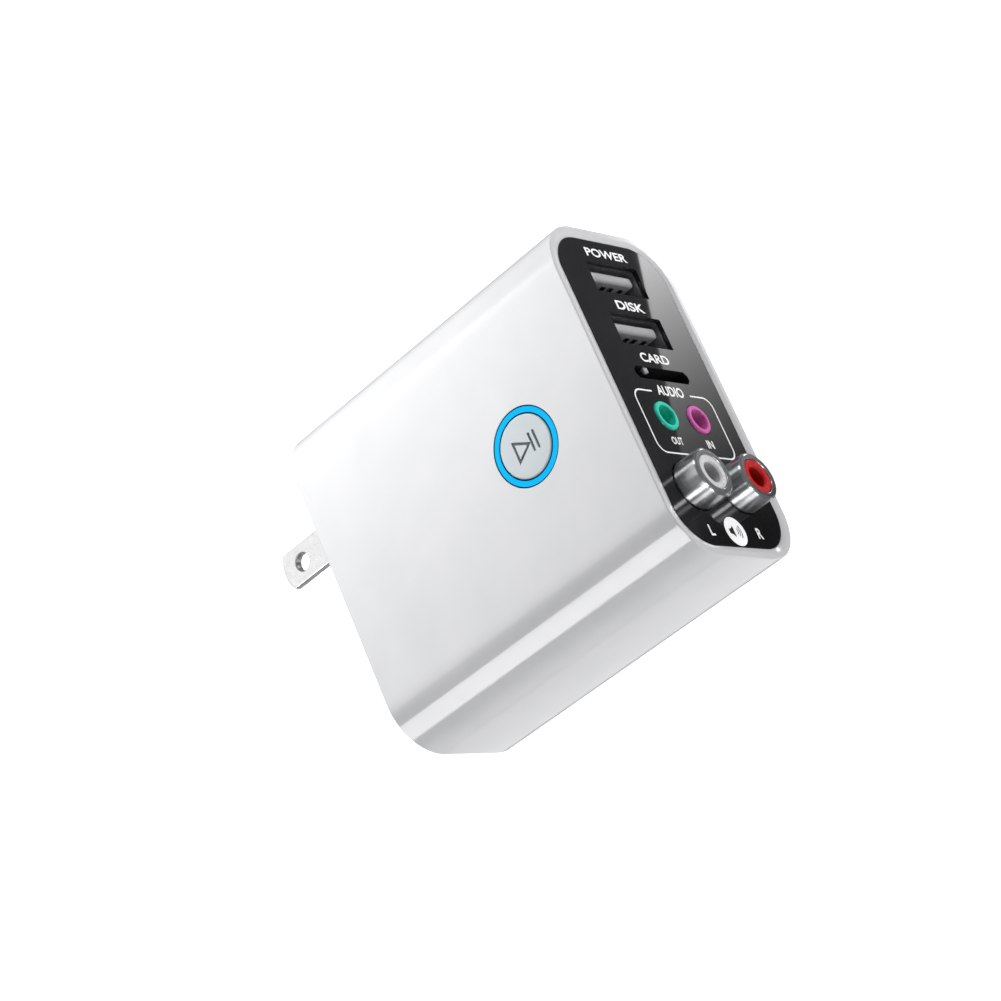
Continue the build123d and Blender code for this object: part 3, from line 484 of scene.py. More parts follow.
# %% Build the sleeve
LIP_BEVEL, LIP_SINK = 0.9 * MM, 0.3 * MM
LIP_ROUND, REAR_ROUND, THROAT_ROUND = 0.2 * MM, 0.15 * MM, 0.1 * MM
RING_GAP = 0.1 * MM
ring_low, ring_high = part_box("light_ring")
RING_R = 6.35 * MM


def extrude_edges(bm, edges, vector):
    made = bmesh.ops.extrude_edge_only(bm, edges=edges)
    bmesh.ops.translate(
        bm, vec=vector, verts=[item for item in made["geom"] if isinstance(item, bmesh.types.BMVert)]
    )
    return [item for item in made["geom"] if isinstance(item, bmesh.types.BMEdge)]


def build_sleeve():
    bm = bmesh.new()
    front = out_of(FRONT)
    face = rounded_face(bm, LENGTH, THICK, CORNER, (0, 0, front), segments=24)
    bmesh.ops.inset_region(
        bm, faces=[face], thickness=WALL - LIP_BEVEL, use_boundary=True, use_even_offset=True
    )
    bmesh.ops.inset_region(
        bm, faces=[face], thickness=LIP_BEVEL, depth=-LIP_SINK, use_boundary=True, use_even_offset=True
    )
    outer = [edge for edge in bm.edges if edge.is_boundary]
    throat = loop_of(bm, face)
    inner_rear = extrude_edges(bm, throat, (0, 0, -(DEPTH - LIP_SINK)))
    inner_rear = [edge for edge in inner_rear if all(abs(v.co.z + front) < 1e-6 for v in edge.verts)]
    outer_rear = extrude_edges(bm, outer, (0, 0, -DEPTH))
    outer_rear = [edge for edge in outer_rear if all(abs(v.co.z + front) < 1e-6 for v in edge.verts)]
    bmesh.ops.bridge_loops(bm, edges=inner_rear + outer_rear)
    bmesh.ops.recalc_face_normals(bm, faces=bm.faces)
    cut_ring_hole(bm)
    front_rim = [edge for edge in level_edges(bm, front) if outside(edge)]
    soften(bm, front_rim, LIP_ROUND, 4)
    soften(bm, level_edges(bm, front - LIP_SINK), THROAT_ROUND, 3)
    soften(bm, level_edges(bm, front, 10), THROAT_ROUND, 3)
    rear_rim = [edge for edge in level_edges(bm, -front) if outside(edge)]
    soften(bm, rear_rim, REAR_ROUND, 4)
    return finish_piece(
        bm, "sleeve", [white_plastic], replaces=["shell_sleeve"], place=PANEL
    )


def outside(edge):
    """True for an edge on the sleeve's outer skin: one of its faces is the long outer wall."""
    middle = (edge.verts[0].co + edge.verts[1].co) / 2
    return abs(middle.x) > LENGTH / 2 - CORNER and on_skin(middle) or abs(middle.y) > THICK / 2 - 1e-5


def on_skin(point):
    """True where a point lies on the outer outline, arcs included."""
    dx = max(abs(point.x) - (LENGTH / 2 - CORNER), 0)
    dy = max(abs(point.y) - (THICK / 2 - CORNER), 0)
    return (dx * dx + dy * dy) ** 0.5 > CORNER - 0.05 * MM


def cut_ring_hole(bm):
    hole_z = out_of(centre("light_ring").y)
    rims = []
    for height in (THICK / 2, THICK / 2 - WALL):
        wall = max(
            (f for f in bm.faces if all(abs(v.co.y - height) < 1e-6 for v in f.verts)),
            key=lambda f: f.calc_area(),
        )
        border = loop_of(bm, wall)
        hole = bmesh.ops.create_circle(bm, cap_ends=False, radius=RING_R + RING_GAP, segments=96)["verts"]
        bmesh.ops.rotate(bm, verts=hole, cent=(0, 0, 0), matrix=Matrix.Rotation(radians(90), 3, "X"))
        bmesh.ops.translate(bm, verts=hole, vec=(0, height, hole_z))
        rim = list({edge for vert in hole for edge in vert.link_edges})
        bmesh.ops.triangle_fill(bm, use_beauty=True, use_dissolve=False, edges=border + rim, normal=(0, 1, 0))
        rims += rim
    bmesh.ops.bridge_loops(bm, edges=rims)


build_sleeve()

# %% [markdown]
# ## The black lens
# The lens is a thin plate that drops into the sleeve's mouth. Seven openings go through it: two flat ports,
# a card slot with clipped corners, two round jacks and two phono barrels. A fine bevel round every opening
# and round the rim gives the thin bright line that polished plastic has at its edges.

# %% Build the lens
PORT_NODES = ("charge_port_shell", "disk_port_shell")
JACK_NODES = ("out_jack_housing", "in_jack_housing")
PHONO_NODES = ("left_phono_barrel", "right_phono_barrel")
PORT_H, PORT_W = 5.7 * MM, 13.1 * MM
SLOT_H, SLOT_W, SLOT_CLIP = 2.2 * MM, 13.8 * MM, 0.7 * MM
SLOT_X = 3.0 * MM
JACK_R, JACK_GAP = 2.58 * MM, 0.07 * MM
PHONO_R, PHONO_GAP = 4.2 * MM, 0.12 * MM
LENS_FRONT = out_of(lens_low.y)
LENS_T = lens_high.y - lens_low.y
LENS_CORNER = 7.05 * MM
LENS_BEVEL = 0.06 * MM


def build_lens():
    bm = bmesh.new()
    up = Vector((0, 0, LENS_FRONT))
    size = lens_high - lens_low
    faces = [rounded_face(bm, size.x, size.z, LENS_CORNER, up, 20)]
    for node in PORT_NODES:
        faces.append(rounded_face(bm, PORT_H, PORT_W, 0.15 * MM, on_panel(node) + up, 3))
    faces.append(rounded_face(bm, SLOT_H, SLOT_W, SLOT_CLIP, Vector((SLOT_X, 0, 0)) + up, 1))
    for node in JACK_NODES:
        faces.append(round_face(bm, JACK_R + JACK_GAP, on_panel(node) + up, 64))
    for node in PHONO_NODES:
        faces.append(round_face(bm, PHONO_R + PHONO_GAP, on_panel(node) + up, 96))
    sheet = fill_between(bm, [loop_of(bm, face) for face in faces])
    thicken(bm, sheet, LENS_T)
    bmesh.ops.recalc_face_normals(bm, faces=bm.faces)
    soften(bm, level_edges(bm, LENS_FRONT), LENS_BEVEL, 2)
    return finish_piece(
        bm, "panel_lens", [panel_black], replaces=["io_lens"], place=PANEL
    )


build_lens()

# %% [markdown]
# ## The flat ports' tongues
# Each flat port has a moulded tongue with rounded edges and four contacts under it. The block behind the
# tongue closes the port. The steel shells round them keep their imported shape. The card slot shows the bright
# end of its steel tab beside the slot's edge, so a small rounded block is added there.

# %% Build the tongues
def box_in(bm, low, high, radius=0.0, segments=3):
    """A block between two corners, with its edges rounded."""
    low, high = Vector(low), Vector(high)
    made = bmesh.ops.create_cube(bm, size=1)
    bmesh.ops.scale(bm, vec=high - low, verts=made["verts"])
    bmesh.ops.translate(bm, vec=(low + high) / 2, verts=made["verts"])
    if radius:
        edges = list({edge for vert in made["verts"] for edge in vert.link_edges})
        soften(bm, edges, radius, segments)


TONGUE_T, TONGUE_W = 1.84 * MM, 11.1 * MM
TONGUE_ROUND = 0.55 * MM
BASE_DEPTH = 2.7 * MM


def build_tongue(name, node):
    low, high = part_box(node)
    bm = bmesh.new()
    top = high.x - 0.7 * MM
    box_in(bm, (low.x, high.y - BASE_DEPTH, low.z), high, 0.2 * MM)
    box_in(
        bm, (top - TONGUE_T, low.y, MID_Z - TONGUE_W / 2),
        (top, high.y - BASE_DEPTH / 2, MID_Z + TONGUE_W / 2), TONGUE_ROUND, 4,
    )
    return finish_piece(bm, name, [tongue_grey], replaces=[node])


for port in ("charge", "disk"):
    build_tongue(f"{port}_tongue", f"{port}_port_insulator")

TAB_LOW, TAB_HIGH = Vector((3.1, -30.92, 18.97)) * MM, Vector((4.05, -30.3, 20.05)) * MM
bm = bmesh.new()
box_in(bm, TAB_LOW, TAB_HIGH, 0.12 * MM)
finish_piece(bm, "card_tab", [tongue_grey])

# %% [markdown]
# ## The two small jacks
# A 3.5 mm jack shows a rounded coloured rim that stands just proud of the lens, and a bore whose walls get a
# darker copy of the same colour as painted shade. Behind the panel it is a square block.

# %% Build the jacks
JACK_BORE, JACK_LEAD_IN, BLOCK_STEP = 1.8 * MM, 0.3 * MM, 0.2 * MM
TOUCH = 0.02 * MM
JACK_BORE_END = out_of(-18.6 * MM)
# Painted shade: darker copies of the jack colours for the bore's walls.
jack_green_bore_shade = moulded("jack_green_bore_shade", (0.035, 0.68, 0.54), (0.05, 0.77, 0.62), 0.3, 0.4)
jack_pink_bore_shade = moulded("jack_pink_bore_shade", (0.68, 0.20, 0.50), (0.77, 0.26, 0.58), 0.3, 0.4)


def build_jack(name, node, material, hole_shade):
    low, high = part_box(node)
    middle = on_panel(node)
    front, back = out_of(low.y), out_of(high.y)
    block_front = out_of(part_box("io_frame")[0].y) - 2.1 * MM
    bm = bmesh.new()
    turned(bm, [
        (JACK_BORE, JACK_BORE_END, 0), (JACK_BORE, front, 0.2 * MM), (JACK_R, front, 0.36 * MM),
        (JACK_R, block_front, 0), (JACK_R + BLOCK_STEP, block_front, 0),
        (JACK_R + BLOCK_STEP, back, 0), (AXIS_R, back, 0), (AXIS_R, JACK_BORE_END, 0),
    ], middle)
    bmesh.ops.recalc_face_normals(bm, faces=bm.faces)
    # Faces deep in the bore get the darker copy: painted shade.
    for face in bm.faces:
        reach = (face.calc_center_median() - middle).xy.length
        inside_bore = reach < JACK_BORE + TOUCH and face.calc_center_median().z < front - JACK_LEAD_IN
        face.material_index = 1 if inside_bore else 0
    return finish_piece(bm, name, [material, hole_shade], replaces=[node], place=PANEL)


build_jack("out_jack", "out_jack_housing", jack_green, jack_green_bore_shade)
build_jack("in_jack", "in_jack_housing", jack_pink, jack_pink_bore_shade)

# %% [markdown]
# ## The phono sockets
# The barrel is a bright turning with a rolled front edge and a flange behind the frame. The coloured insulator
# sits a little inside it, and its hole has a small lead-in chamfer where the plug's pin enters. The walls of the
# pin hole get a darker copy of the insulator's colour as painted shade. The contact sleeve inside keeps its
# imported shape.

# %% Build the phono sockets
PHONO_BORE = 3.05 * MM
PHONO_NECK, NECK_AT = 3.8 * MM, LENS_FRONT + 0.16 * MM
FLANGE_R, FLANGE_T = 5.2 * MM, 1.4 * MM
PIN_HOLE, CHAMFER = 1.75 * MM, 0.3 * MM
PIN_HOLE_END, CORE_END = out_of(-25.5 * MM), out_of(-24.0 * MM)
# Painted shade: darker copies of the insulator colours for the pin hole's walls.
insulator_white_hole_shade = moulded("insulator_white_hole_shade", (0.52, 0.52, 0.53), (0.62, 0.62, 0.63), 0.4, 0.5)
insulator_red_hole_shade = moulded("insulator_red_hole_shade", (0.50, 0.002, 0.002), (0.60, 0.004, 0.004), 0.4, 0.5)


def build_barrel(name, node):
    low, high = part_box(node)
    front, back = out_of(low.y), out_of(high.y)
    bm = bmesh.new()
    turned(bm, [
        (PHONO_BORE, back, 0), (PHONO_BORE, front, 0.16 * MM), (PHONO_R, front, 0.45 * MM),
        (PHONO_R, NECK_AT, 0.05 * MM), (PHONO_NECK, NECK_AT, 0),
        (PHONO_NECK, back + FLANGE_T, 0), (FLANGE_R, back + FLANGE_T, 0), (FLANGE_R, back, 0),
    ], on_panel(node), 128)
    bmesh.ops.recalc_face_normals(bm, faces=bm.faces)
    for face in bm.faces:
        face.material_index = 0 if abs(face.normal.z) > 0.95 else 1
    return finish_piece(
        bm, name, [phono_chrome, phono_turned], replaces=[node], place=PANEL
    )


def build_insulator(name, node, material, hole_shade):
    front = out_of(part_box(node)[0].y)
    middle = on_panel(node)
    radius = PHONO_BORE - 0.05 * MM
    bm = bmesh.new()
    turned(bm, [
        (AXIS_R, CORE_END, 0), (radius, CORE_END, 0), (radius, front, 0.2 * MM),
        (PIN_HOLE + CHAMFER, front, 0.05 * MM), (PIN_HOLE, front - CHAMFER, 0.05 * MM),
        (PIN_HOLE, PIN_HOLE_END, 0), (AXIS_R, PIN_HOLE_END, 0),
    ], middle, 96)
    # Faces inside the pin hole get the darker copy: painted shade.
    for face in bm.faces:
        at = face.calc_center_median()
        in_hole = (at - middle).xy.length < PIN_HOLE + TOUCH and at.z < front - CHAMFER + 0.05 * MM
        face.material_index = 1 if in_hole else 0
    return finish_piece(bm, name, [material, hole_shade], replaces=[node], place=PANEL)


for side, core, hole_shade, slot in (
    ("left", insulator_white, insulator_white_hole_shade, "insulator_white"),
    ("right", insulator_red, insulator_red_hole_shade, "insulator_red"),
):
    build_barrel(f"{side}_barrel", f"{side}_phono_barrel")
    build_insulator(f"{side}_insulator", f"{side}_phono_insulator", core, hole_shade)

# %% [markdown]
# ## The lit ring and the button cap
# The ring is a plain turning with softened rims, between two thin near-black rings that are painted shade for the
# dark gaps on either side of it. The cap has a shallow pocket, and a thin plate with the sign cut through it drops
# in, so that the sign is a real engraving whose floor is dark grey as painted shade. The sign is a generic one: a
# play triangle beside two pause bars.

# %% Build the ring and the cap
RING_INNER = 5.33 * MM
GAP_SHADE_INNER, GAP_SHADE_OUTER, GAP_SHADE_SINK = 5.13 * MM, 6.44 * MM, 0.06 * MM
RING_FLANGE = 7.4 * MM
FLANGE_Z0, FLANGE_Z1 = 28.4 * MM, 29.45 * MM
RING_GLOW = 6.23 * MM
CAP_R, CAP_FLANGE, CAP_POCKET = 5.1 * MM, 5.6 * MM, 4.7 * MM
SKIRT_INNER = CAP_FLANGE + 0.35 * MM
CAP_WALL, ENGRAVE = 1.2 * MM, 0.25 * MM
CAP_BASE, CAP_RIM, CAP_STEM = 28.3 * MM, 1.0 * MM, 1.5 * MM


def build_ring():
    bm = bmesh.new()
    skirt_z = FLANGE_Z1 - 0.05 * MM
    turned(bm, [
        (RING_INNER, skirt_z, 0), (RING_INNER, ring_high.z, 0.08 * MM), (RING_GLOW, ring_high.z, 0.08 * MM),
        (RING_GLOW, FLANGE_Z1, 0), (RING_FLANGE, FLANGE_Z1, 0), (RING_FLANGE, FLANGE_Z0, 0),
        (RING_R, FLANGE_Z0, 0), (RING_R, ring_low.z, 0), (SKIRT_INNER, ring_low.z, 0),
        (SKIRT_INNER, skirt_z, 0),
    ], steps=128)
    return finish_piece(bm, "lit_ring", [ring_blue], replaces=["light_ring"], place=BUTTON)


def build_gap_shade(name, inner, outer):
    """Thin near-black ring beside the light guide, painted shade for the dark gap there."""
    top = ring_high.z - GAP_SHADE_SINK
    bm = bmesh.new()
    turned(bm, [
        (inner, FLANGE_Z1, 0), (inner, top, 0.02 * MM), (outer, top, 0.02 * MM), (outer, FLANGE_Z1, 0),
    ], steps=96)
    return finish_piece(bm, name, [gap_shade_black], place=BUTTON)


def build_cap():
    low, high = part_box("button_cap")
    top, rim_top = high.z, CAP_BASE + CAP_RIM
    bm = bmesh.new()
    turned(bm, [
        (AXIS_R, top - ENGRAVE, 0), (CAP_POCKET, top - ENGRAVE, 0), (CAP_POCKET, top, 0),
        (CAP_R, top, 0.3 * MM), (CAP_R, rim_top, 0), (CAP_FLANGE, rim_top, 0),
        (CAP_FLANGE, CAP_BASE, 0), (CAP_R - CAP_WALL, CAP_BASE, 0), (CAP_R - CAP_WALL, top - CAP_WALL, 0),
        (CAP_STEM, top - CAP_WALL, 0), (CAP_STEM, low.z, 0), (AXIS_R, low.z, 0),
    ], steps=128)
    # The pocket floor gets the dark grey: painted shade in the engraving.
    for face in bm.faces:
        at = face.calc_center_median()
        floor = abs(at.z - (top - ENGRAVE)) < 0.01 * MM and at.xy.length < CAP_POCKET
        face.material_index = 1 if floor else 0
    return finish_piece(
        bm, "cap", [button_grey, engraving_shade], body="button",
        replaces=["button_cap"], place=BUTTON,
    )


build_ring()
build_gap_shade("inner_gap_shade", GAP_SHADE_INNER, RING_INNER - 0.01 * MM)
build_gap_shade("outer_gap_shade", RING_GLOW + 0.01 * MM, GAP_SHADE_OUTER)
build_cap()

# %% [markdown]
# The sign's strokes are cut through the plate. A stroke is the space between two outlines, so the triangle
# is a large one with a smaller island left standing inside it, and each bar is one narrow slot.

# %% Build the sign plate
STROKE = 0.42 * MM
SIGN_TRIANGLE, SIGN_BAR = 2.3 * MM, 3.3 * MM
TRIANGLE_X, BAR_XS = -1.05 * MM, (1.35 * MM, 2.35 * MM)
SIGN_TURN = radians(-90)


def triangle_face(bm, radius, centre_at):
    made = bmesh.ops.create_circle(bm, cap_ends=True, radius=radius, segments=3)
    bmesh.ops.rotate(bm, verts=made["verts"], cent=(0, 0, 0), matrix=Matrix.Rotation(radians(-90), 3, "Z"))
    bmesh.ops.translate(bm, vec=centre_at, verts=made["verts"])
    return made["verts"][0].link_faces[0]


def build_sign():
    top = cad_high.z
    bm = bmesh.new()
    up = Vector((0, 0, top))
    triangle_at = up + Vector((TRIANGLE_X, 0, 0))
    faces = [round_face(bm, CAP_POCKET, up, 128), triangle_face(bm, SIGN_TRIANGLE, triangle_at)]
    for bar_x in BAR_XS:
        faces.append(rounded_face(bm, STROKE, SIGN_BAR, STROKE * 0.45, up + Vector((bar_x, 0, 0)), 4))
    sheet = fill_between(bm, [loop_of(bm, face) for face in faces])
    sheet.append(triangle_face(bm, SIGN_TRIANGLE - 2 * STROKE, triangle_at))
    thicken(bm, sheet, ENGRAVE)
    bmesh.ops.recalc_face_normals(bm, faces=bm.faces)
    rims = [edge for edge in level_edges(bm, top) if edge.verts[0].co.xy.length < CAP_POCKET * 0.9]
    soften(bm, rims, 0.05 * MM, 2)
    place = BUTTON @ Matrix.Rotation(SIGN_TURN, 4, "Z")
    return finish_piece(bm, "cap_sign", [button_grey], body="button", place=place)


build_sign()

# %% [markdown]
# ## The mains blades
# A blade is a stamped strip. Its tip is a shallow arc from edge to edge, a round hole goes through it, and
# stamping leaves a fine bevel on every edge. A narrower tail runs back to the sprung contact.

# %% Build the blades
PIVOT = Vector(next(j["pos_m"] for j in frame["joints"] if j["name"] == "plug_fold"))
BLADE_W, BLADE_HOLE = 6.35 * MM, 1.55 * MM
HOLE_OUT, TIP_SAG = 11.9 * MM, 1.0 * MM
BLADE_ROOT, TAIL_HALF = 2.0 * MM, 1.0 * MM
EDGE_BEVEL = 0.16 * MM


def build_blade(name, node):
    low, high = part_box(node)
    bm = bmesh.new()
    half = BLADE_W / 2
    arc_radius = (half ** 2 + TIP_SAG ** 2) / (2 * TIP_SAG)
    arc_centre = Vector((PIVOT.x, high.y - arc_radius, high.z))
    shoulder = Vector((PIVOT.x + half, high.y - TIP_SAG, high.z))
    start = bm.verts.new(shoulder)
    sweep = 2 * (shoulder - arc_centre).angle(Vector((0, 1, 0)))
    spun = bmesh.ops.spin(
        bm, geom=[start], cent=arc_centre, axis=(0, 0, 1), angle=sweep, steps=16, use_merge=False
    )
    end = next(item for item in spun["geom_last"] if isinstance(item, bmesh.types.BMVert))
    root_y = PIVOT.y - BLADE_ROOT
    corners = [
        (PIVOT.x - half, root_y), (PIVOT.x - TAIL_HALF, root_y), (PIVOT.x - TAIL_HALF, low.y),
        (PIVOT.x + TAIL_HALF, low.y), (PIVOT.x + TAIL_HALF, root_y), (PIVOT.x + half, root_y),
    ]
    chain = [end] + [bm.verts.new((x, y, high.z)) for x, y in corners] + [start]
    for pair in zip(chain, chain[1:]):
        bm.edges.new(pair)
    border = list(bm.edges)
    hole = loop_of(bm, round_face(bm, BLADE_HOLE, (PIVOT.x, REAR + HOLE_OUT, high.z), 48))
    thicken(bm, fill_between(bm, [border, hole]), high.z - low.z)
    bmesh.ops.recalc_face_normals(bm, faces=bm.faces)
    for level in (high.z, low.z):
        soften(bm, level_edges(bm, level), EDGE_BEVEL, 2)
    return finish_piece(bm, name, [blade_steel], body="plug", replaces=[node])


for name in ("line", "neutral"):
    build_blade(f"{name}_blade", f"blade_{name}")

# %% [markdown]
# ## Printing on the panel
# The sockets have printed names. Real marks are replaced by short generic words. A word starts as a text
# object, becomes a mesh, is scaled to the width and height that the space allows, and is laid on the lens
# a hundredth of a millimetre thick. Words read across the panel's short side, with their tops towards the
# charging port.

# %% Lay the words
INK_T = 0.012 * MM
INK_TOP = LENS_FRONT + INK_T
READING = Matrix.Rotation(radians(-90), 4, "Z")


def add_word(bm, text, width, height, x, across=0.0, weight=0.022):
    curve = bpy.data.curves.new("word", "FONT")
    curve.body = text
    curve.size = 1.0
    curve.offset = weight
    curve.resolution_u = 6
    holder = bpy.data.objects.new("word", curve)
    bpy.context.scene.collection.objects.link(holder)
    bpy.context.view_layer.update()
    mesh = bpy.data.meshes.new_from_object(holder.evaluated_get(bpy.context.evaluated_depsgraph_get()))
    bpy.data.objects.remove(holder)
    xs = [vert.co.x for vert in mesh.vertices]
    ys = [vert.co.y for vert in mesh.vertices]
    middle = Vector(((min(xs) + max(xs)) / 2, (min(ys) + max(ys)) / 2, 0))
    fit = Matrix.Diagonal((width / (max(xs) - min(xs)), height / (max(ys) - min(ys)), 1, 1))
    place = Matrix.Translation((x, across, INK_TOP)) @ READING @ fit @ Matrix.Translation(-middle)
    mesh.transform(place)
    bm.from_mesh(mesh)
    bpy.data.meshes.remove(mesh)


WORDS = (
    ("POWER", 10.6, 1.62, 25.6, 0.0), ("DISK", 7.2, 1.7, 15.75, 0.0), ("CARD", 7.4, 1.7, 6.0, 0.0),
    ("AUDIO", 6.85, 1.85, -0.05, 0.0), ("OUT", 2.8, 1.35, -9.4, 4.3), ("IN", 1.75, 1.45, -9.4, -4.35),
    ("L", 1.1, 1.9, -25.3, 6.3), ("R", 1.3, 1.9, -25.3, -6.3),
)

# %% [markdown]
# A thin line with rounded corners ties the two jacks together under their shared name. It is a rounded
# outline with a slightly smaller one taken out of it, cut open at the top where the name stands.

# %% Draw the line and finish the printing
LINE_W, LINE_ROUND = 0.27 * MM, 2.0 * MM
LINE_TOP, LINE_BOTTOM, LINE_HALF = -0.3 * MM, -11.9 * MM, 10.2 * MM
NAME_HALF = 5.0 * MM


def add_group_line(bm):
    known = set(bm.faces)
    middle = ((LINE_TOP + LINE_BOTTOM) / 2, 0, INK_TOP)
    face = rounded_face(bm, LINE_TOP - LINE_BOTTOM, 2 * LINE_HALF, LINE_ROUND, middle, 8)
    bmesh.ops.inset_region(bm, faces=[face], thickness=LINE_W, use_even_offset=True, use_boundary=True)
    bmesh.ops.delete(bm, geom=[face], context="FACES_ONLY")
    for across in (-NAME_HALF, NAME_HALF):
        ring = [item for item in bm.faces if item not in known]
        geometry = ring + list({e for f in ring for e in f.edges}) + list({v for f in ring for v in f.verts})
        bmesh.ops.bisect_plane(bm, geom=geometry, plane_co=(0, across, 0), plane_no=(0, 1, 0))
    ring = [item for item in bm.faces if item not in known]
    gap = [
        item for item in ring
        if abs(item.calc_center_median().y) < NAME_HALF and item.calc_center_median().x > LINE_TOP - LINE_W
    ]
    bmesh.ops.delete(bm, geom=gap, context="FACES")


def build_printing():
    bm = bmesh.new()
    for text, width, height, x, across in WORDS:
        add_word(bm, text, width * MM, height * MM, x * MM, across * MM)
    add_group_line(bm)
    thicken(bm, list(bm.faces), INK_T)
    return finish_piece(bm, "panel_printing", [ink_white_painted_glow], place=PANEL)


build_printing()

# %% [markdown]
# ## The white disc
# Between the two phono sockets' letters is a printed white disc. Its mark is a generic loudspeaker: a small
# cone with three arcs. Each arc is a short piece of a spun strip.

# %% Build the disc and its sign
DISC_X, DISC_R = -25.25 * MM, 2.55 * MM
ARC_RADII, ARC_HALF_ANGLE, ARC_W = (0.75, 1.2, 1.65), radians(42), 0.17


def build_disc():
    bm = bmesh.new()
    face = round_face(bm, DISC_R, (DISC_X, 0, INK_TOP), 96)
    thicken(bm, [face], INK_T)
    return finish_piece(bm, "disc", [ink_white_painted_glow], place=PANEL)


def add_arc(bm, radius):
    inner, outer = (radius - ARC_W / 2) * MM, (radius + ARC_W / 2) * MM
    pair = [bm.verts.new((r * cos(ARC_HALF_ANGLE), -r * sin(ARC_HALF_ANGLE), 0)) for r in (inner, outer)]
    edge = bm.edges.new(pair)
    bmesh.ops.spin(
        bm, geom=pair + [edge], cent=(0, 0, 0), axis=(0, 0, 1), angle=2 * ARC_HALF_ANGLE,
        steps=16, use_merge=False,
    )


def build_disc_sign():
    bm = bmesh.new()
    for radius in ARC_RADII:
        add_arc(bm, radius)
    bmesh.ops.translate(bm, vec=(-0.15 * MM, 0, 0), verts=bm.verts)
    body = rounded_face(bm, 0.5 * MM, 0.9 * MM, 0, (-1.35 * MM, 0, 0))
    cone_edge = max(body.edges, key=lambda edge: (edge.verts[0].co + edge.verts[1].co).x)
    made = bmesh.ops.extrude_edge_only(bm, edges=[cone_edge])
    mouth = [item for item in made["geom"] if isinstance(item, bmesh.types.BMVert)]
    bmesh.ops.translate(bm, vec=(0.75 * MM, 0, 0), verts=mouth)
    bmesh.ops.scale(bm, vec=(1, 2.2, 1), verts=mouth)
    thicken(bm, list(bm.faces), INK_T)
    place = PANEL @ Matrix.Translation((DISC_X, 0, INK_TOP + INK_T)) @ READING
    return finish_piece(bm, "disc_sign", [ink_black], place=place)


build_disc()
build_disc_sign()

# %% [markdown]
# ## Camera
# The camera is a long lens about 45 cm away, high over the socket end, and rolled so that the sleeve's long
# edge climbs to the right. Its place, the point it looks at and its own upward direction say all of that.

# %% Place the camera
CAMERA_AT = Vector((-0.1620, -0.2292, 0.3613))
LOOKS_AT = Vector((0.0013, 0.0039, 0.0190))
CAMERA_UP = Vector((0.8527, -0.5197, 0.0533))
LENS_MM, SENSOR_MM = 100, 36

ahead = (LOOKS_AT - CAMERA_AT).normalized()
right = ahead.cross(CAMERA_UP).normalized()
lens = bpy.data.cameras.new("camera")
lens.lens = LENS_MM
lens.sensor_width = SENSOR_MM
lens.clip_start = 0.01
camera = bpy.data.objects.new("camera", lens)
bpy.context.scene.collection.objects.link(camera)
turn = Matrix((right, right.cross(ahead), -ahead)).transposed().to_4x4()
camera.matrix_world = Matrix.Translation(CAMERA_AT) @ turn
bpy.context.scene.camera = camera
print("camera at", CAMERA_AT[:])

# %% [markdown]
# ## Floor and lights
# The receiver lies on a pale floor. A long soft box stands to the left, parallel to the sleeve. Its edges
# are what draw the stripe along the rounded corner. A smaller, nearer light at the far right makes the top
# face fall off from near white to a soft grey. A front light lifts the lip and the printing. Two narrow
# strips beside the socket end are there only for the plated barrels, which show them as bright bands.

# %% Light the set
def softbox(name, at, facing, along, size, power):
    """Area light at a place, with its length along one direction."""
    data = bpy.data.lights.new(name, "AREA")
    data.shape = "RECTANGLE"
    data.size, data.size_y = size
    data.energy = power
    light = bpy.data.objects.new(name, data)
    back = -Vector(facing).normalized()
    x_axis = Vector(along).normalized()
    y_axis = back.cross(x_axis).normalized()
    x_axis = y_axis.cross(back)
    light.matrix_world = Matrix.Translation(at) @ Matrix((x_axis, y_axis, back)).transposed().to_4x4()
    bpy.context.scene.collection.objects.link(light)
    return light


STRIPE_TILT, STRIPE_FAR = radians(50), 0.45
corner = Vector((sleeve_low.x, 0, TOP))
stripe_away = Vector((-sin(STRIPE_TILT), 0, cos(STRIPE_TILT)))
stripe_box = softbox(
    "stripe_box", corner + stripe_away * STRIPE_FAR + Vector((0, 0.285, 0)), -stripe_away, (0, 1, 0),
    (0.26, 2 * STRIPE_FAR * tan(radians(19.8))), 1.4,
)
stripe_box.visible_diffuse = False
key_at = Vector((0.12, 0.055, 0.15))
key = softbox("key", key_at, -key_at, (0, 1, 0), (0.10, 0.10), 0.335)
key.visible_glossy = False
side_at = Vector((-0.50, -0.05, 0.10))
softbox("side_fill", side_at, -side_at, (0, 1, 0), (0.3, 0.15), 0.56)
front_at = Vector((0.34, -0.26, 0.14))
front_fill = softbox("front_fill", front_at, -front_at, (0, 0, 1), (0.10, 0.10), 0.30)
front_fill.visible_glossy = False
overhead_away = Vector((0.36, 0.54, 0.76)).normalized()
overhead = softbox("overhead", overhead_away * 0.5, -overhead_away, (0, 1, 0), (0.40, 0.40), 0.6)
overhead.visible_diffuse = False

barrels = (centre("left_phono_barrel") + centre("right_phono_barrel")) / 2
for name, tilt, power in (("metal_left", 50, 0.8), ("metal_right", -56, 0.3)):
    away = Vector((-sin(radians(tilt)), -0.15, cos(radians(tilt)))).normalized()
    strip = softbox(name, barrels + away * 0.4, -away, (0, 1, 0), (0.30, 0.09), power)
    strip.visible_diffuse = False
print("lights placed")

# %% [markdown]
# The floor is bright enough to read as white. A polished panel that faces slightly down would mirror it and
# turn grey, so the floor is left out of mirror reflections. A card with a fading glow lies below instead, and
# the lens mirrors that: this is the light patch that fades down its right-hand side. A second card lifts
# the lower half of the sleeve's side in the same way.

# %% Floor, card and surroundings
FLOOR_HALF = 3.0
CARD_DROP = 0.2


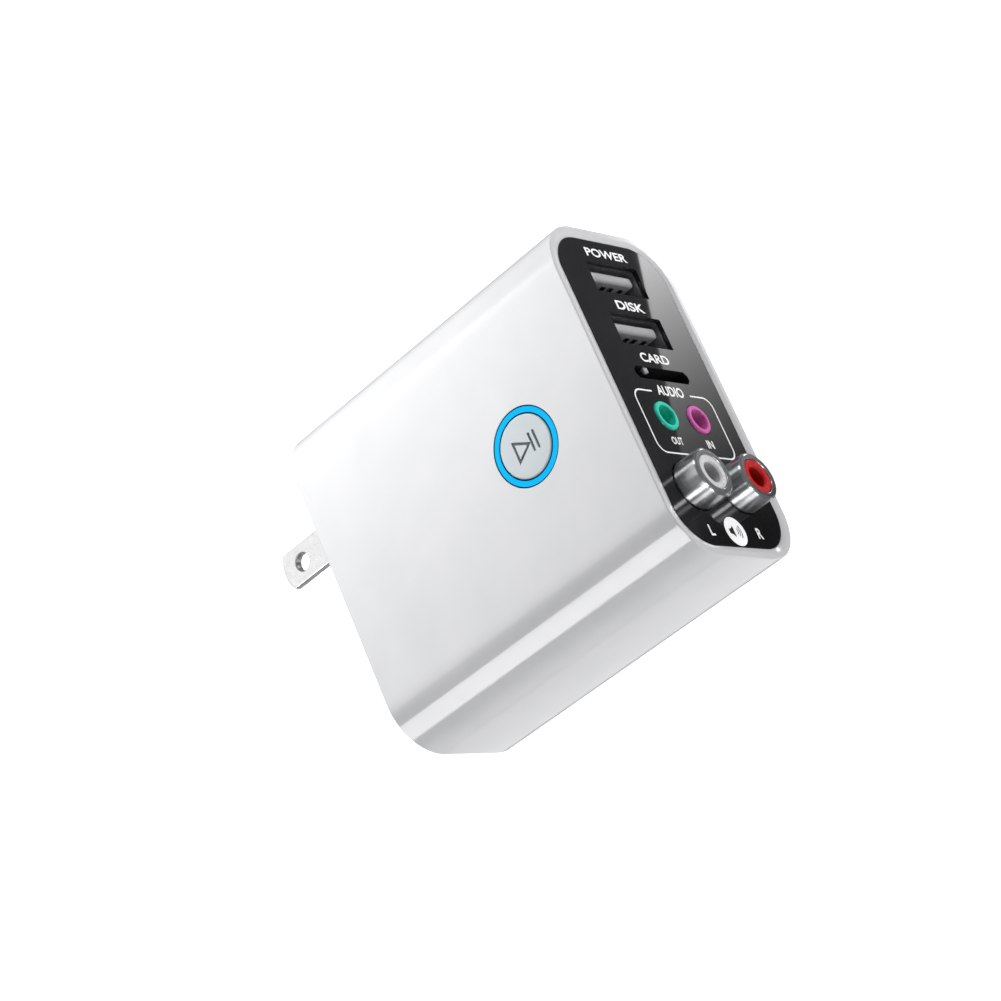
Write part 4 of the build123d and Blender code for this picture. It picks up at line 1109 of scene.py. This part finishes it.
def stage_plane(name, material, low, high, height, turn=0.0):
    """Level plane between two corners, turned about its first corner."""
    bm = bmesh.new()
    width, depth = high[0] - low[0], high[1] - low[1]
    face = rounded_face(bm, width, depth, 0, (width / 2, depth / 2, 0))
    place = Matrix.Translation((*low, height)) @ Matrix.Rotation(turn, 4, "Z")
    bmesh.ops.transform(bm, matrix=place, verts=face.verts)
    mesh = bpy.data.meshes.new(name)
    bm.to_mesh(mesh)
    bm.free()
    mesh.materials.append(material)
    plane = bpy.data.objects.new(name, mesh)
    bpy.context.scene.collection.objects.link(plane)
    return plane


floor_paper = moulded(
    "floor_paper", (0.88, 0.88, 0.88), (0.90, 0.90, 0.90), 0.8, 0.9, 0.5, 0.005,
    Emission_Color=(1, 1, 1, 1), Emission_Strength=0.92,
)
floor = stage_plane("floor", floor_paper, (-FLOOR_HALF, -FLOOR_HALF), (FLOOR_HALF, FLOOR_HALF), 0)
floor.visible_glossy = False

card_glow = bpy.data.materials.new("card_glow")
card_glow.use_nodes = True
card_nodes, card_links = card_glow.node_tree.nodes, card_glow.node_tree.links
card_nodes.clear()
place_node = card_nodes.new("ShaderNodeTexCoord")
split = card_nodes.new("ShaderNodeSeparateXYZ")
fade = card_nodes.new("ShaderNodeMapRange")
fade.inputs["From Min"].default_value = 0.050
fade.inputs["From Max"].default_value = 0.145
curve_node = card_nodes.new("ShaderNodeMath")
curve_node.operation = "POWER"
curve_node.inputs[1].default_value = 2.45
strength = card_nodes.new("ShaderNodeMath")
strength.operation = "MULTIPLY"
strength.inputs[1].default_value = 6.5
glow = card_nodes.new("ShaderNodeEmission")
output = card_nodes.new("ShaderNodeOutputMaterial")
card_links.new(place_node.outputs["Object"], split.inputs["Vector"])
card_links.new(split.outputs["X"], fade.inputs["Value"])
card_links.new(fade.outputs["Result"], curve_node.inputs[0])
card_links.new(curve_node.outputs["Value"], strength.inputs[0])
card_links.new(strength.outputs["Value"], glow.inputs["Strength"])
card_links.new(glow.outputs["Emission"], output.inputs["Surface"])
CARD_EDGE = Vector((0.036, -0.172))
card = stage_plane("card", card_glow, CARD_EDGE, CARD_EDGE + Vector((0.125, 0.03)), -CARD_DROP, radians(14.3))

side_glow = card_glow.copy()
side_glow.name = "side_glow"
side_nodes = side_glow.node_tree.nodes
side_nodes["Map Range"].inputs["From Min"].default_value = -0.1220
side_nodes["Map Range"].inputs["From Max"].default_value = -0.1050
side_nodes["Math"].inputs[1].default_value = 1.0
side_nodes["Math.001"].inputs[1].default_value = 0.95
side_card = stage_plane("side_card", side_glow, (-0.16, -0.10), (-0.06, 0.35), -CARD_DROP)
for sheet in (card, side_card):
    sheet.visible_camera = False
    sheet.visible_diffuse = False
    sheet.visible_shadow = False

world = bpy.data.worlds.new("surroundings")
world.use_nodes = True
world.node_tree.nodes["Background"].inputs["Color"].default_value = (0.95, 0.97, 1.0, 1)
world.node_tree.nodes["Background"].inputs["Strength"].default_value = 0.16
bpy.context.scene.world = world
bpy.context.scene.view_settings.view_transform = "Standard"
print("set ready")
